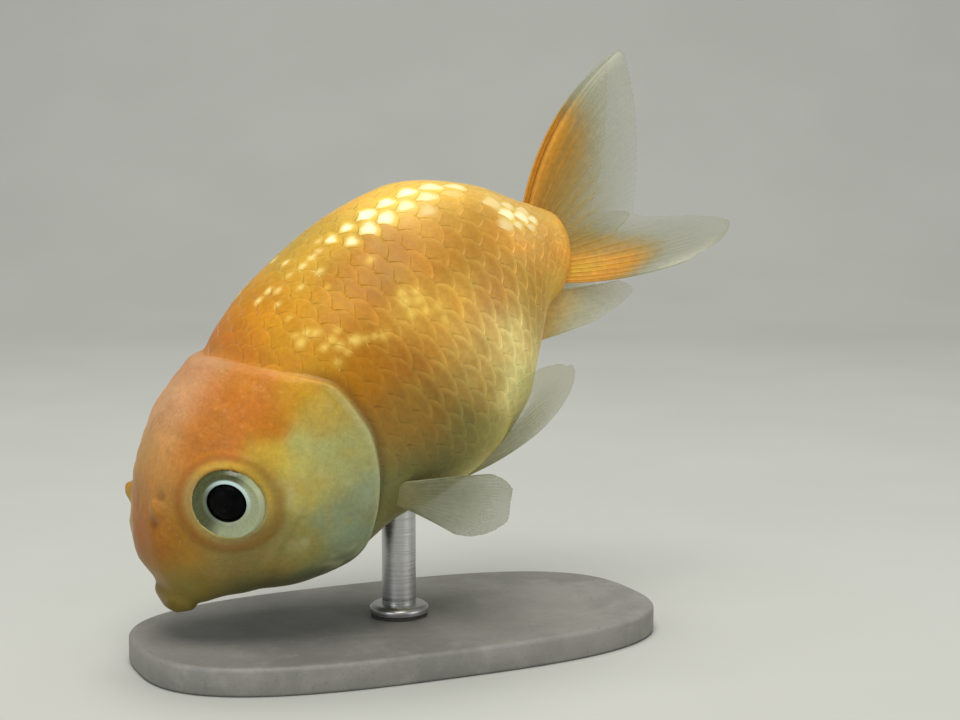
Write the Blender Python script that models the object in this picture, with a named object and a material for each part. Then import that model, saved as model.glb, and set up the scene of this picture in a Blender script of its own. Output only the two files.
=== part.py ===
"""A young ranchu-type goldfish, life size, nose down in the pose of a fish that
feeds from the bottom, held by one rod over a plain flat base.

Axes: X runs from the fish's head (-X) to its tail (+X), -Y is its left side, +Z is up.
The origin is the middle of the base's underside.  Lengths below are in millimetres
and are turned into metres where the meshes are made."""
import bpy
import bmesh
import numpy as np
from math import radians, sin, cos, pi, sqrt
from mathutils import Vector

MM = 0.001

# ------------------------------------------------------------------ sizes
BODY_LENGTH = 48.5          # mouth to end of tail stalk, along the spine
MOUTH_X, MOUTH_Z = -21.5, 4.9
GAP = 0.32                  # clearance between neighbouring pieces

# name: distance from the mouth along the spine, slope of the spine in degrees,
#       back above the spine, belly below it, half width
STATIONS = {
    'lips':      (0.0,  61.8,  0.95, 0.75,  1.65),
    'lip_root':  (1.9,  59.9,  2.30, 1.85,  2.95),
    'snout':     (2.8,  58.6,  4.25, 2.50,  4.15),
    'nostril':   (4.6,  55.5,  6.05, 4.30,  5.85),
    'eye':       (8.5,  50.6,  8.85, 8.00,  8.10),
    'cheek':     (13.0, 47.9, 10.40, 9.80, 10.00),
    'gill':      (18.5, 43.4, 11.10, 10.85, 10.90),
    'shoulder':  (24.0, 39.9, 12.20, 12.55, 11.55),
    'middle':    (29.5, 37.9, 12.40, 13.05, 11.50),
    'rear':      (36.0, 31.1, 11.65, 11.80, 10.00),
    'vent':      (41.0, 20.8,  8.60,  8.60,  7.10),
    'stalk':     (45.0, 11.2,  5.25,  4.60,  3.95),
    'stalk_end': (48.5,  1.9,  3.50,  2.75,  2.20),
}
SNOUT_ROUND = 1.6           # length over which the snout closes
STALK_ROUND = 1.8           # length over which the tail stalk closes
SECTION_POWER = 2.15        # 2 is an ellipse, more is boxier

# the rear edge of the hood and the gill cover: angle from the back, distance along the spine
GILL_EDGE = {
    'nape': (0, 17.2), 'hood_side': (28, 18.1), 'gill_top': (47, 19.3), 'gill_upper': (60, 20.6),
    'gill_rear': (72, 21.5), 'gill_rear_low': (88, 21.2), 'gill_lower': (102, 20.0),
    'gill_front': (119, 17.9), 'gill_throat': (135, 15.3), 'throat': (152, 12.2), 'isthmus': (180, 10.6),
}
STALK_CUT = 41.6            # where the trunk ends and the tail stalk begins

EYE_S, EYE_PSI = 9.7, 68.5      # place of the eye: along the spine, degrees from the back
EYE_RADIUS = 3.9
EYE_DEPTH = 2.55                # eyeball centre below the cheek surface
NOSTRIL_S, NOSTRIL_PSI = 6.5, 31.0

FIN_ROOT_THICK, FIN_TIP_THICK = 0.8, 0.52

BASE_LENGTH, BASE_WIDTH, BASE_HEIGHT = 47.0, 25.0, 2.4
BASE_X, BASE_POWER, BASE_BEVEL = -1.0, 2.8, 0.4    # middle, squareness of the oval, edge
ROD_X, ROD_RADIUS = -1.0, 1.5
ROD_IN_BODY, ROD_IN_BASE = 4.5, 1.5
FOOT_RADIUS, FOOT_HEIGHT = 2.6, 0.8


# ------------------------------------------------------------------ curves
def pchip(xs, ys, x):
    """smooth curve through named points that never overshoots them"""
    xs = np.asarray(xs, float)
    ys = np.asarray(ys, float)
    h = np.diff(xs)
    d = np.diff(ys) / h
    m = np.zeros_like(ys)
    m[0], m[-1] = d[0], d[-1]
    for i in range(1, len(xs) - 1):
        if d[i - 1] * d[i] > 0:
            w1, w2 = 2 * h[i] + h[i - 1], h[i] + 2 * h[i - 1]
            m[i] = (w1 + w2) / (w1 / d[i - 1] + w2 / d[i])
    x = np.asarray(x, float)
    k = np.clip(np.searchsorted(xs, x, side='right') - 1, 0, len(h) - 1)
    t = (x - xs[k]) / h[k]
    t2, t3 = t * t, t * t * t
    return ((2 * t3 - 3 * t2 + 1) * ys[k] + (t3 - 2 * t2 + t) * h[k] * m[k]
            + (-2 * t3 + 3 * t2) * ys[k + 1] + (t3 - t2) * h[k] * m[k + 1])


ST = np.array(list(STATIONS.values()))
GE = np.array(list(GILL_EDGE.values()))


def slope(s):
    return np.radians(pchip(ST[:, 0], ST[:, 1], s))


SPINE_S = np.linspace(0, BODY_LENGTH, 400)
_ph = slope(SPINE_S)
SPINE_X = MOUTH_X + np.concatenate([[0], np.cumsum(0.5 * (np.cos(_ph[1:]) + np.cos(_ph[:-1])) * np.diff(SPINE_S))])
SPINE_Z = MOUTH_Z + np.concatenate([[0], np.cumsum(0.5 * (np.sin(_ph[1:]) + np.sin(_ph[:-1])) * np.diff(SPINE_S))])


def spine(s):
    return np.interp(s, SPINE_S, SPINE_X), np.interp(s, SPINE_S, SPINE_Z)


def closing(s):
    a = np.clip(s / SNOUT_ROUND, 0, 1)
    b = np.clip((BODY_LENGTH - s) / STALK_ROUND, 0, 1)
    return np.sqrt(np.clip(1 - (1 - a) ** 2, 0, 1)) * np.sqrt(np.clip(1 - (1 - b) ** 2, 0, 1))


def gill_edge(psi):
    """distance along the spine of the gill cover's rear edge; psi in radians, either side"""
    a = np.degrees(np.abs((np.asarray(psi) + pi) % (2 * pi) - pi))
    return pchip(GE[:, 0], GE[:, 1], a)


def bump(d, width):
    return np.exp(-(d / width) ** 2)


def step(x, a, b):
    t = np.clip((x - a) / (b - a), 0, 1)
    return t * t * (3 - 2 * t)


def near(s, psi, s0, psi0):
    """rough distance in mm over the skin from the point s0, psi0 (degrees, both sides)"""
    a = np.degrees(np.abs((np.asarray(psi) + pi) % (2 * pi) - pi))
    r = 0.5 * (pchip(ST[:, 0], ST[:, 2], s0) + pchip(ST[:, 0], ST[:, 4], s0))
    return np.sqrt((s - s0) ** 2 + (np.radians(a - psi0) * r) ** 2)


def relief(s, psi):
    """how far the skin stands out of the plain section, mm"""
    e = gill_edge(psi) - s                                     # ahead of the gill edge
    a = np.degrees(np.abs((np.asarray(psi) + pi) % (2 * pi) - pi))
    top = step(a, 75, 40)
    r = 0.30 * top * step(e, -0.4, 1.2) - 0.28 * top * bump(e + 0.5, 0.9)      # hood and nape notch
    r = r + 0.55 * bump(near(s, psi, 12.5, 138), 4.5)                         # lower gill cover
    r = r + 0.25 * (1 - top) * step(e, -0.2, 0.8) * step(s, 9, 15)            # gill plate over the shoulder
    de = near(s, psi, EYE_S, EYE_PSI)
    r = r + 0.45 * bump(de - 3.8, 0.9)                                        # ring of skin round the eye
    r = r + 0.95 * bump(near(s, psi, NOSTRIL_S, NOSTRIL_PSI), 0.75)           # nostril flap
    r = r - 0.25 * bump(near(s, psi, NOSTRIL_S, 0), 1.4)                      # dip between the nostrils
    r = r + 0.45 * bump(near(s, psi, 4.5, 36), 1.2)                           # pad below the nostril
    r = r + 0.22 * bump(s - 0.9, 0.55) - 0.22 * bump(s - 2.0, 0.6)            # lips, groove behind them
    return r


def body(s, psi, out=0.0, detail=True):
    """point on the body: s along the spine, psi from 0 at the back round the left flank"""
    s = np.asarray(s, float)
    psi = np.asarray(psi, float)
    c = closing(s)
    up, down, half = (pchip(ST[:, 0], ST[:, k], s) * c for k in (2, 3, 4))
    if detail:
        out = out + relief(s, psi) * c
    n = SECTION_POWER
    sy, sz = np.sin(psi), np.cos(psi)
    y = -(half + out) * np.sign(sy) * np.abs(sy) ** (2 / n)
    z = np.where(sz > 0, up + out, down + out) * np.sign(sz) * np.abs(sz) ** (2 / n)
    ph = slope(s)
    x0, z0 = spine(s)
    return np.stack([x0 - np.sin(ph) * z, y + 0 * x0, z0 + np.cos(ph) * z], -1)


def frame_at(s):
    ph = float(slope(s))
    x0, z0 = spine(s)
    return (np.array([float(x0), 0, float(z0)]), np.array([cos(ph), 0, sin(ph)]),
            np.array([-sin(ph), 0, cos(ph)]))


def body_normal(s, psi):
    h = 0.05
    ds = body(s + h, psi, detail=False) - body(s - h, psi, detail=False)
    dp = body(s, psi + 0.01, detail=False) - body(s, psi - 0.01, detail=False)
    n = np.cross(dp, ds)
    c, _, _ = frame_at(s)
    n = n / np.linalg.norm(n)
    return n if np.dot(n, body(s, psi, detail=False) - c) > 0 else -n


# ------------------------------------------------------------------ mesh helpers
def wipe():
    for o in list(bpy.data.objects):
        bpy.data.objects.remove(o, do_unlink=True)
    for m in list(bpy.data.meshes):
        bpy.data.meshes.remove(m)


def material(name, rgb, rough, metal=0.0):
    m = bpy.data.materials.new(name)
    m.use_nodes = True
    b = m.node_tree.nodes['Principled BSDF']
    b.inputs['Base Color'].default_value = (*rgb, 1)
    b.inputs['Roughness'].default_value = rough
    b.inputs['Metallic'].default_value = metal
    m.diffuse_color = (*rgb, 1)
    return m


def add_object(name, bm, mat, smooth=40):
    bmesh.ops.recalc_face_normals(bm, faces=bm.faces[:])
    me = bpy.data.meshes.new(name)
    bm.to_mesh(me)
    bm.free()
    me.materials.append(mat)
    me.shade_smooth()
    me.set_sharp_from_angle(angle=radians(smooth))
    ob = bpy.data.objects.new(name, me)
    bpy.context.scene.collection.objects.link(ob)
    return ob


def rings_mesh(rings, first=None, last=None):
    """closed skin over a list of closed rings, with a point or a flat face at each end"""
    bm = bmesh.new()
    vr = [[bm.verts.new(tuple(p * MM)) for p in r] for r in rings]
    n = len(rings[0])
    for a, b in zip(vr[:-1], vr[1:]):
        for j in range(n):
            k = (j + 1) % n
            bm.faces.new((a[j], a[k], b[k], b[j]))
    for pt, ring in ((first, vr[0]), (last, vr[-1])):
        if pt is None:
            bm.faces.new(ring)
        else:
            c = bm.verts.new(tuple(np.asarray(pt) * MM))
            for j in range(n):
                bm.faces.new((ring[j], ring[(j + 1) % n], c))
    return bm


PSI = np.linspace(0, 2 * pi, 41)[:-1]


def inner_rings(ring, centre, steps=(0.78, 0.5, 0.22)):
    return [centre + r * (ring - centre) for r in steps]


def make_head(mat):
    front = (0.06, 0.22, 0.5, 0.9, 1.4, 1.9, 2.35, 2.8, 3.7, 4.6, 5.4, 6.0, 6.5, 7.0, 7.8, 8.8, 9.8)
    edge = gill_edge(PSI) - GAP * 0.55
    rings = [body(np.full_like(PSI, s), PSI) for s in front]
    for t in np.linspace(0, 1, 11)[1:]:
        rings.append(body(front[-1] + (edge - front[-1]) * t, PSI))
    c, _, _ = frame_at(15.8)
    c = c - GAP * 0.55 * frame_at(15.8)[1]
    rings += inner_rings(rings[-1], c)
    return add_object('head', rings_mesh(rings, body(0.0, 0.0), c), mat)


def make_trunk(mat):
    edge = gill_edge(PSI) + GAP * 0.55
    end = STALK_CUT - GAP * 0.5
    t = np.linspace(0, 1, 17)
    rings = [body(edge + (end - edge) * k, PSI) for k in t]
    c0, d0, _ = frame_at(15.8)
    c0 = c0 + GAP * 0.55 * d0
    c1, _, _ = frame_at(end)
    rings = inner_rings(rings[0], c0)[::-1] + rings
    return add_object('trunk', rings_mesh(rings, c0, c1), mat)


def make_stalk(mat):
    ss = list(np.linspace(STALK_CUT + GAP * 0.5, BODY_LENGTH - STALK_ROUND, 7)) + \
        [BODY_LENGTH - STALK_ROUND * k for k in (0.62, 0.3, 0.1)]
    rings = [body(np.full_like(PSI, s), PSI) for s in ss]
    c, _, _ = frame_at(ss[0])
    e, _, _ = frame_at(BODY_LENGTH)
    return add_object('tail_stalk', rings_mesh(rings, c, e), mat)


# ------------------------------------------------------------------ fins
LEFT = np.array([0., -1., 0.])


def aim(deg, spread):
    """direction at an angle above level in the fish's middle plane, spread to the side"""
    return np.array([cos(radians(deg)), 0, sin(radians(deg))]) + LEFT * spread


def unit(v):
    return v / np.linalg.norm(v, axis=-1, keepdims=True)


def tail_lines(side):
    """the tail's guide rays: place across it, root, direction at root and tip, length"""
    def root(s, h, w):
        c, _, n = frame_at(s)
        return c + n * h + LEFT * w * side
    d = side
    return [
        (0.00, root(44.9, 3.80, 0.60), aim(80, 0.01 * d), aim(34, 0.00 * d), 19.9),
        (0.15, root(45.5, 3.00, 0.72), aim(69, 0.08 * d), aim(47, 0.06 * d), 17.0),
        (0.32, root(46.0, 2.00, 0.90), aim(51, 0.20 * d), aim(40, 0.18 * d), 12.1),
        (0.50, root(46.5, 0.80, 1.10), aim(28, 0.36 * d), aim(22, 0.40 * d), 8.2),
        (0.72, root(46.4, -0.70, 1.15), aim(6, 0.52 * d), aim(27, 0.60 * d), 16.5),
        (1.00, root(45.6, -2.20, 1.10), aim(-2, 0.62 * d), aim(27, 0.70 * d), 13.6),
    ]


def paired_lines(s0, psi0, s1, psi1, sink, rays):
    def lines(side):
        m = np.array([1, side, 1.])
        p0 = body(s0, radians(psi0), out=-sink, detail=False)
        p1 = body(s1, radians(psi1), out=-sink, detail=False)
        return [(u, (p0 + (p1 - p0) * u) * m, aim(a0, w0 * side), aim(a1, w1 * side), ln)
                for u, a0, w0, a1, w1, ln in rays]
    return lines


PECTORAL = paired_lines(18.5, 119, 18.5, 130, 1.2, [
    (0.0, 12, 0.55, 3, 0.40, 11.8), (0.5, -7, 0.50, -16, 0.40, 11.4), (1.0, -25, 0.45, -36, 0.35, 8.3)])
PELVIC = paired_lines(21.4, 157, 22.6, 169, 1.2, [
    (0.0, 50, 0.52, 60, 0.36, 15.8), (0.5, 34, 0.42, 50, 0.32, 17.8), (1.0, 14, 0.36, 48, 0.26, 15.0)])
ANAL = paired_lines(41.6, 172, 45.6, 162, 1.0, [
    (0.0, 15, 0.30, 25, 0.30, 7.8), (0.5, 12, 0.32, 18, 0.30, 9.0), (1.0, 8, 0.36, 12, 0.32, 7.4)])


def corner(u, cut):
    """shortens a fin's first and last rays by the share `cut`, which rounds its corners"""
    return 1 - cut * (np.exp(-u / 0.09) + np.exp(-(1 - u) / 0.09))


def fin_sheet(lines, u, v, cut):
    k = [q[0] for q in lines]
    def curve(i):
        return np.stack([pchip(k, [q[i][j] for q in lines], u) for j in range(3)], -1)
    root, d0, d1 = curve(1), unit(curve(2)), unit(curve(3))
    ln = pchip(k, [q[4] for q in lines], u) * corner(u, cut)
    w = v[None, :, None]
    return root[:, None, :] + ln[:, None, None] * (d0[:, None, :] * (w - w * w / 2) + d1[:, None, :] * w * w / 2)


def make_fin(name, lines, nu, nv, mat, cutter, cut):
    u = np.linspace(0, 1, nu)
    v = np.linspace(0, 1, nv)
    P = fin_sheet(lines, u, v, cut)
    N = unit(np.cross(np.gradient(P, axis=0), np.gradient(P, axis=1)))
    th = FIN_TIP_THICK + (FIN_ROOT_THICK - FIN_TIP_THICK) * (1 - v)[None, :, None] ** 1.5
    bm = bmesh.new()
    A = [[bm.verts.new(tuple(p * MM)) for p in row] for row in P + N * th / 2]
    B = [[bm.verts.new(tuple(p * MM)) for p in row] for row in P - N * th / 2]
    for i in range(nu - 1):
        for j in range(nv - 1):
            bm.faces.new((A[i][j], A[i + 1][j], A[i + 1][j + 1], A[i][j + 1]))
            bm.faces.new((B[i][j], B[i][j + 1], B[i + 1][j + 1], B[i + 1][j]))
    rim = [(i, 0) for i in range(nu)] + [(nu - 1, j) for j in range(1, nv)] + \
          [(i, nv - 1) for i in range(nu - 2, -1, -1)] + [(0, j) for j in range(nv - 2, 0, -1)]
    for (i, j), (k, l) in zip(rim, rim[1:] + rim[:1]):
        bm.faces.new((A[i][j], A[k][l], B[k][l], B[i][j]))
    ob = add_object(name, bm, mat, 60)
    m = ob.modifiers.new('clear_of_body', 'BOOLEAN')
    m.operation = 'DIFFERENCE'
    m.object = cutter
    return ob


# ------------------------------------------------------------------ other pieces
def cutter_look(ob):
    ob.hide_render = True
    ob.display_type = 'WIRE'
    return ob


def body_clearance():
    """the whole body, grown by the gap, which trims the fins at their roots"""
    ss = np.concatenate([[0.05, 0.4, 1.0], np.linspace(2, BODY_LENGTH - STALK_ROUND, 34),
                         BODY_LENGTH - STALK_ROUND * np.array([0.6, 0.3, 0.08])])
    rings = [body(np.full_like(PSI, s), PSI, out=GAP) for s in ss]
    c, d, _ = frame_at(BODY_LENGTH)
    return cutter_look(add_object('cut_body', rings_mesh(rings, body(0, 0) - GAP * frame_at(0)[1], c + GAP * d),
                                  material('cutter', (1, 0, 0), 1)))


def eye_centre(side):
    p = body(EYE_S, radians(EYE_PSI), detail=False)
    c = p - body_normal(EYE_S, radians(EYE_PSI)) * EYE_DEPTH
    return c * np.array([1, side, 1.])


def ball(name, centre, radius, mat, seg=22, rings=12, look=None):
    bm = bmesh.new()
    bmesh.ops.create_uvsphere(bm, u_segments=seg, v_segments=rings, radius=radius * MM)
    n = Vector(look) if look is not None else Vector((0, 0, 1))
    rot = n.to_track_quat('Z', 'X').to_matrix().to_4x4()
    bmesh.ops.transform(bm, matrix=rot, verts=bm.verts[:])
    bmesh.ops.translate(bm, vec=tuple(np.asarray(centre) * MM), verts=bm.verts[:])
    return add_object(name, bm, mat, 60)


def turned(name, profile, centre, mat, seg=20):
    """solid of revolution about a vertical axis from (radius, height) pairs"""
    rings = []
    for r, z in profile:
        a = np.linspace(0, 2 * pi, seg + 1)[:-1]
        rings.append(np.stack([centre[0] + r * np.cos(a), centre[1] + r * np.sin(a), 0 * a + z], -1))
    return add_object(name, rings_mesh(rings), mat, 35)


def make_base(mat):
    """flat oval plate with a small bevel on its edges"""
    def outline(inset, z):
        a = np.linspace(0, 2 * pi, 45)[:-1]
        lx, ly, k = BASE_LENGTH / 2 - inset, BASE_WIDTH / 2 - inset, 2 / BASE_POWER
        return np.stack([BASE_X + lx * np.sign(np.cos(a)) * np.abs(np.cos(a)) ** k,
                         ly * np.sign(np.sin(a)) * np.abs(np.sin(a)) ** k, 0 * a + z], -1)
    rings = [outline(0.3, 0), outline(0, 0.3), outline(0, BASE_HEIGHT - BASE_BEVEL),
             outline(BASE_BEVEL * 0.3, BASE_HEIGHT - BASE_BEVEL * 0.3), outline(BASE_BEVEL, BASE_HEIGHT)]
    return add_object('stand_base', rings_mesh(rings), mat, 35)


def subtract(ob, cutter):
    m = ob.modifiers.new('cut', 'BOOLEAN')
    m.operation = 'DIFFERENCE'
    m.object = cutter


# ------------------------------------------------------------------ build
def main():
    wipe()
    gold_head = material('skin_head', (0.48, 0.20, 0.045), 0.42)
    gold_body = material('skin_trunk', (0.62, 0.29, 0.05), 0.34)
    gold_tail = material('skin_stalk', (0.68, 0.36, 0.09), 0.34)
    fin_gold = material('fin_tail', (0.55, 0.40, 0.18), 0.4)
    fin_pale = material('fin_pale', (0.42, 0.42, 0.33), 0.4)
    eye_mat = material('eye', (0.22, 0.25, 0.16), 0.08)
    base_mat = material('stand_plate', (0.32, 0.30, 0.27), 0.6)
    rod_mat = material('stand_steel', (0.55, 0.55, 0.56), 0.3, 1.0)

    clear = body_clearance()
    head = make_head(gold_head)
    trunk = make_trunk(gold_body)
    make_stalk(gold_tail)

    for side, tag in ((1, 'left'), (-1, 'right')):
        c = eye_centre(side)
        n = body_normal(EYE_S, radians(EYE_PSI)) * np.array([1, side, 1.])
        ball('eye_' + tag, c, EYE_RADIUS, eye_mat, look=n)
        socket = cutter_look(ball('cut_socket_' + tag, c, EYE_RADIUS + GAP, eye_mat, look=n))
        subtract(head, socket)
        make_fin('tail_fin_' + tag, tail_lines(side), 20, 8, fin_gold, clear, 0.02)
        make_fin('pectoral_fin_' + tag, PECTORAL(side), 10, 6, fin_pale, clear, 0.16)
        make_fin('pelvic_fin_' + tag, PELVIC(side), 10, 6, fin_pale, clear, 0.14)
        make_fin('anal_fin_' + tag, ANAL(side), 9, 6, fin_gold, clear, 0.12)

    # rod: foot in the base, top in a socket in the belly
    belly = body(SPINE_S, np.full_like(SPINE_S, pi), detail=False)
    under = belly[(SPINE_S > 14) & (SPINE_S < 40)]
    belly_z = float(np.interp(ROD_X, under[:, 0], under[:, 2]))
    top = belly_z + ROD_IN_BODY
    base = make_base(base_mat)
    z0 = BASE_HEIGHT - ROD_IN_BASE
    foot = BASE_HEIGHT + GAP
    turned('stand_rod', [(ROD_RADIUS, z0), (ROD_RADIUS, foot), (FOOT_RADIUS, foot),
                         (FOOT_RADIUS, foot + FOOT_HEIGHT * 0.6), (FOOT_RADIUS - 0.35, foot + FOOT_HEIGHT),
                         (ROD_RADIUS, foot + FOOT_HEIGHT), (ROD_RADIUS, top - 0.3), (ROD_RADIUS - 0.3, top)],
           (ROD_X, 0), rod_mat)
    hole = cutter_look(turned('cut_base_hole', [(ROD_RADIUS + GAP, z0 - GAP), (ROD_RADIUS + GAP, BASE_HEIGHT + 2)],
                              (ROD_X, 0), rod_mat))
    subtract(base, hole)
    sock = cutter_look(turned('cut_belly_hole', [(ROD_RADIUS + GAP, belly_z - 6), (ROD_RADIUS + GAP, top + GAP)],
                              (ROD_X, 0), rod_mat))
    subtract(trunk, sock)


main()
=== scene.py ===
"""Looks of the young ranchu goldfish on its display stand.

Lengths inside the shape functions are millimetres; meshes are made in metres.
The fish faces -X, its left side is towards -Y, and Z is up, as in the solids."""
import bpy
import numpy as np
from math import radians, sin, cos, pi, sqrt
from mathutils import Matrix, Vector


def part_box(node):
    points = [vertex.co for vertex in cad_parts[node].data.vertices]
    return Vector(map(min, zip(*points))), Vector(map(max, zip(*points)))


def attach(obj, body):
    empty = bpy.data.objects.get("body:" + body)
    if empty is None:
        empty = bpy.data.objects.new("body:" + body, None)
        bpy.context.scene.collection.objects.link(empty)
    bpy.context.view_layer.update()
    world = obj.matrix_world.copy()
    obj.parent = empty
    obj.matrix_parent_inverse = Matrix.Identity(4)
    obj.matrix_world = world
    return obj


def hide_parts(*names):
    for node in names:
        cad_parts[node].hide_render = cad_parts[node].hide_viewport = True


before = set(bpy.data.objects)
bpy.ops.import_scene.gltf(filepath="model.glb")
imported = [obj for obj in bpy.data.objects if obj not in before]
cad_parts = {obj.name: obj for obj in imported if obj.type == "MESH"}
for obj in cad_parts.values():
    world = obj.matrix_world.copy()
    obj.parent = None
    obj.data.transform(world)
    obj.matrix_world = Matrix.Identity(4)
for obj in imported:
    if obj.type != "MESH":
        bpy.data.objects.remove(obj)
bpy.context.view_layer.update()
MM = 0.001

# ================================================================ body shape
BODY_LENGTH = 48.5
MOUTH_X, MOUTH_Z = -21.5, 4.9
STATIONS = {
    'lips':      (0.0,  61.8,  0.95, 0.75,  1.65),
    'lip_root':  (1.9,  59.9,  2.30, 1.85,  2.95),
    'snout':     (2.8,  58.6,  4.25, 2.50,  4.15),
    'nostril':   (4.6,  55.5,  6.05, 4.30,  5.85),
    'eye':       (8.5,  50.6,  8.85, 8.00,  8.10),
    'cheek':     (13.0, 47.9, 10.40, 9.80, 10.00),
    'gill':      (18.5, 43.4, 11.10, 10.85, 10.90),
    'shoulder':  (24.0, 39.9, 12.20, 12.55, 11.55),
    'middle':    (29.5, 37.9, 12.40, 13.05, 11.50),
    'rear':      (36.0, 31.1, 11.65, 11.80, 10.00),
    'vent':      (41.0, 20.8,  8.60,  8.60,  7.10),
    'stalk':     (45.0, 11.2,  5.25,  4.60,  3.95),
    'stalk_end': (48.5,  1.9,  3.50,  2.75,  2.20),
}
SNOUT_ROUND, STALK_ROUND, SECTION_POWER = 1.6, 1.8, 2.15
GILL_EDGE = {
    'nape': (0, 17.2), 'hood_side': (28, 18.1), 'gill_top': (47, 19.3), 'gill_upper': (60, 20.6),
    'gill_rear': (72, 21.5), 'gill_rear_low': (88, 21.2), 'gill_lower': (102, 20.0),
    'gill_front': (119, 17.9), 'gill_throat': (135, 15.3), 'throat': (152, 12.2), 'isthmus': (180, 10.6),
}
# front edge of the gill cover's rear plate: angle from the back, distance along the spine
CHEEK_EDGE = {
    'top': (50, 18.6), 'upper': (63, 18.5), 'corner': (78, 17.3), 'rear': (88, 15.2),
    'low': (96, 12.4), 'under_eye': (104, 9.4), 'chin': (140, 6.0), 'mid': (180, 5.0),
}
EYE_S, EYE_PSI = 9.7, 68.5
NOSTRIL_S, NOSTRIL_PSI = 6.5, 31.0
COAT_DEPTH = 0.22           # skin lies this far under the solids where scales cover it
HEAD_DEPTH = 0.05


def pchip(xs, ys, x):
    xs = np.asarray(xs, float)
    ys = np.asarray(ys, float)
    h = np.diff(xs)
    d = np.diff(ys) / h
    m = np.zeros_like(ys)
    m[0], m[-1] = d[0], d[-1]
    for i in range(1, len(xs) - 1):
        if d[i - 1] * d[i] > 0:
            w1, w2 = 2 * h[i] + h[i - 1], h[i] + 2 * h[i - 1]
            m[i] = (w1 + w2) / (w1 / d[i - 1] + w2 / d[i])
    x = np.asarray(x, float)
    k = np.clip(np.searchsorted(xs, x, side='right') - 1, 0, len(h) - 1)
    t = (x - xs[k]) / h[k]
    t2, t3 = t * t, t * t * t
    return ((2 * t3 - 3 * t2 + 1) * ys[k] + (t3 - 2 * t2 + t) * h[k] * m[k]
            + (-2 * t3 + 3 * t2) * ys[k + 1] + (t3 - t2) * h[k] * m[k + 1])


ST = np.array(list(STATIONS.values()))
GE = np.array(list(GILL_EDGE.values()))
CE = np.array(list(CHEEK_EDGE.values()))


def slope(s):
    return np.radians(pchip(ST[:, 0], ST[:, 1], s))


SPINE_S = np.linspace(0, BODY_LENGTH, 400)
_ph = slope(SPINE_S)
SPINE_X = MOUTH_X + np.concatenate([[0], np.cumsum(0.5 * (np.cos(_ph[1:]) + np.cos(_ph[:-1])) * np.diff(SPINE_S))])
SPINE_Z = MOUTH_Z + np.concatenate([[0], np.cumsum(0.5 * (np.sin(_ph[1:]) + np.sin(_ph[:-1])) * np.diff(SPINE_S))])


def spine(s):
    return np.interp(s, SPINE_S, SPINE_X), np.interp(s, SPINE_S, SPINE_Z)


def closing(s):
    a = np.clip(s / SNOUT_ROUND, 0, 1)
    b = np.clip((BODY_LENGTH - s) / STALK_ROUND, 0, 1)
    return np.sqrt(np.clip(1 - (1 - a) ** 2, 0, 1)) * np.sqrt(np.clip(1 - (1 - b) ** 2, 0, 1))


def fold(psi):
    """angle from the back in degrees, 0 to 180, the same on both sides"""
    return np.degrees(np.abs((np.asarray(psi) + pi) % (2 * pi) - pi))


def gill_edge(psi):
    return pchip(GE[:, 0], GE[:, 1], fold(psi))


def cheek_edge(psi):
    return pchip(CE[:, 0], CE[:, 1], np.clip(fold(psi), 50, 180))


def bump(d, width):
    return np.exp(-(d / width) ** 2)


def step(x, a, b):
    t = np.clip((x - a) / (b - a), 0, 1)
    return t * t * (3 - 2 * t)


def near(s, psi, s0, psi0):
    r = 0.5 * (pchip(ST[:, 0], ST[:, 2], s0) + pchip(ST[:, 0], ST[:, 4], s0))
    return np.sqrt((s - s0) ** 2 + (np.radians(fold(psi) - psi0) * r) ** 2)


def section(s, psi, out):
    c = closing(s)
    up, down, half = (pchip(ST[:, 0], ST[:, k], s) * c for k in (2, 3, 4))
    n = SECTION_POWER
    sy, sz = np.sin(psi), np.cos(psi)
    y = -(half + out) * np.sign(sy) * np.abs(sy) ** (2 / n)
    z = np.where(sz > 0, up + out, down + out) * np.sign(sz) * np.abs(sz) ** (2 / n)
    ph = slope(s)
    x0, z0 = spine(s)
    return np.stack([x0 - np.sin(ph) * z, y + 0 * x0, z0 + np.cos(ph) * z], -1)


def frame_at(s):
    ph = float(slope(s))
    x0, z0 = spine(s)
    return (np.array([float(x0), 0, float(z0)]), np.array([cos(ph), 0, sin(ph)]),
            np.array([-sin(ph), 0, cos(ph)]))


# ---------------------------------------------------------------- seeded noise in space
def _hash(i, j, k, seed):
    n = (i * 73856093) ^ (j * 19349663) ^ (k * 83492791) ^ (seed * 2654435)
    n = n & 0x7fffffff
    n = ((n ^ (n >> 13)) * 1274126177) & 0x7fffffff
    n = ((n ^ (n >> 15)) * 668265263) & 0x7fffffff
    return ((n >> 8) & 0xffff) / 65535.0


def noise(P, size, seed=0):
    """smooth noise from -1 to 1 at points P (mm), with lumps about `size` mm across"""
    q = P / size
    i = np.floor(q).astype(np.int64)
    f = q - i
    f = f * f * (3 - 2 * f)
    out = 0
    for dx in (0, 1):
        for dy in (0, 1):
            for dz in (0, 1):
                w = ((f[..., 0] if dx else 1 - f[..., 0]) * (f[..., 1] if dy else 1 - f[..., 1])
                     * (f[..., 2] if dz else 1 - f[..., 2]))
                out = out + w * _hash(i[..., 0] + dx, i[..., 1] + dy, i[..., 2] + dz, seed)
    return out * 2 - 1


# ---------------------------------------------------------------- eyes: places from the solids
def node_centre(name):
    lo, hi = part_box(name)
    return (np.array(lo) + np.array(hi)) / 2 / MM, (np.array(hi) - np.array(lo)).max() / 2 / MM


EYE_C, EYE_R = node_centre("eye_left")
_p = section(np.array(EYE_S), np.array(radians(EYE_PSI)), 0.0)
EYE_N = (_p - EYE_C) / np.linalg.norm(_p - EYE_C)
EYE_SINK = float(np.linalg.norm(_p - EYE_C))        # eyeball centre below the cheek


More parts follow.
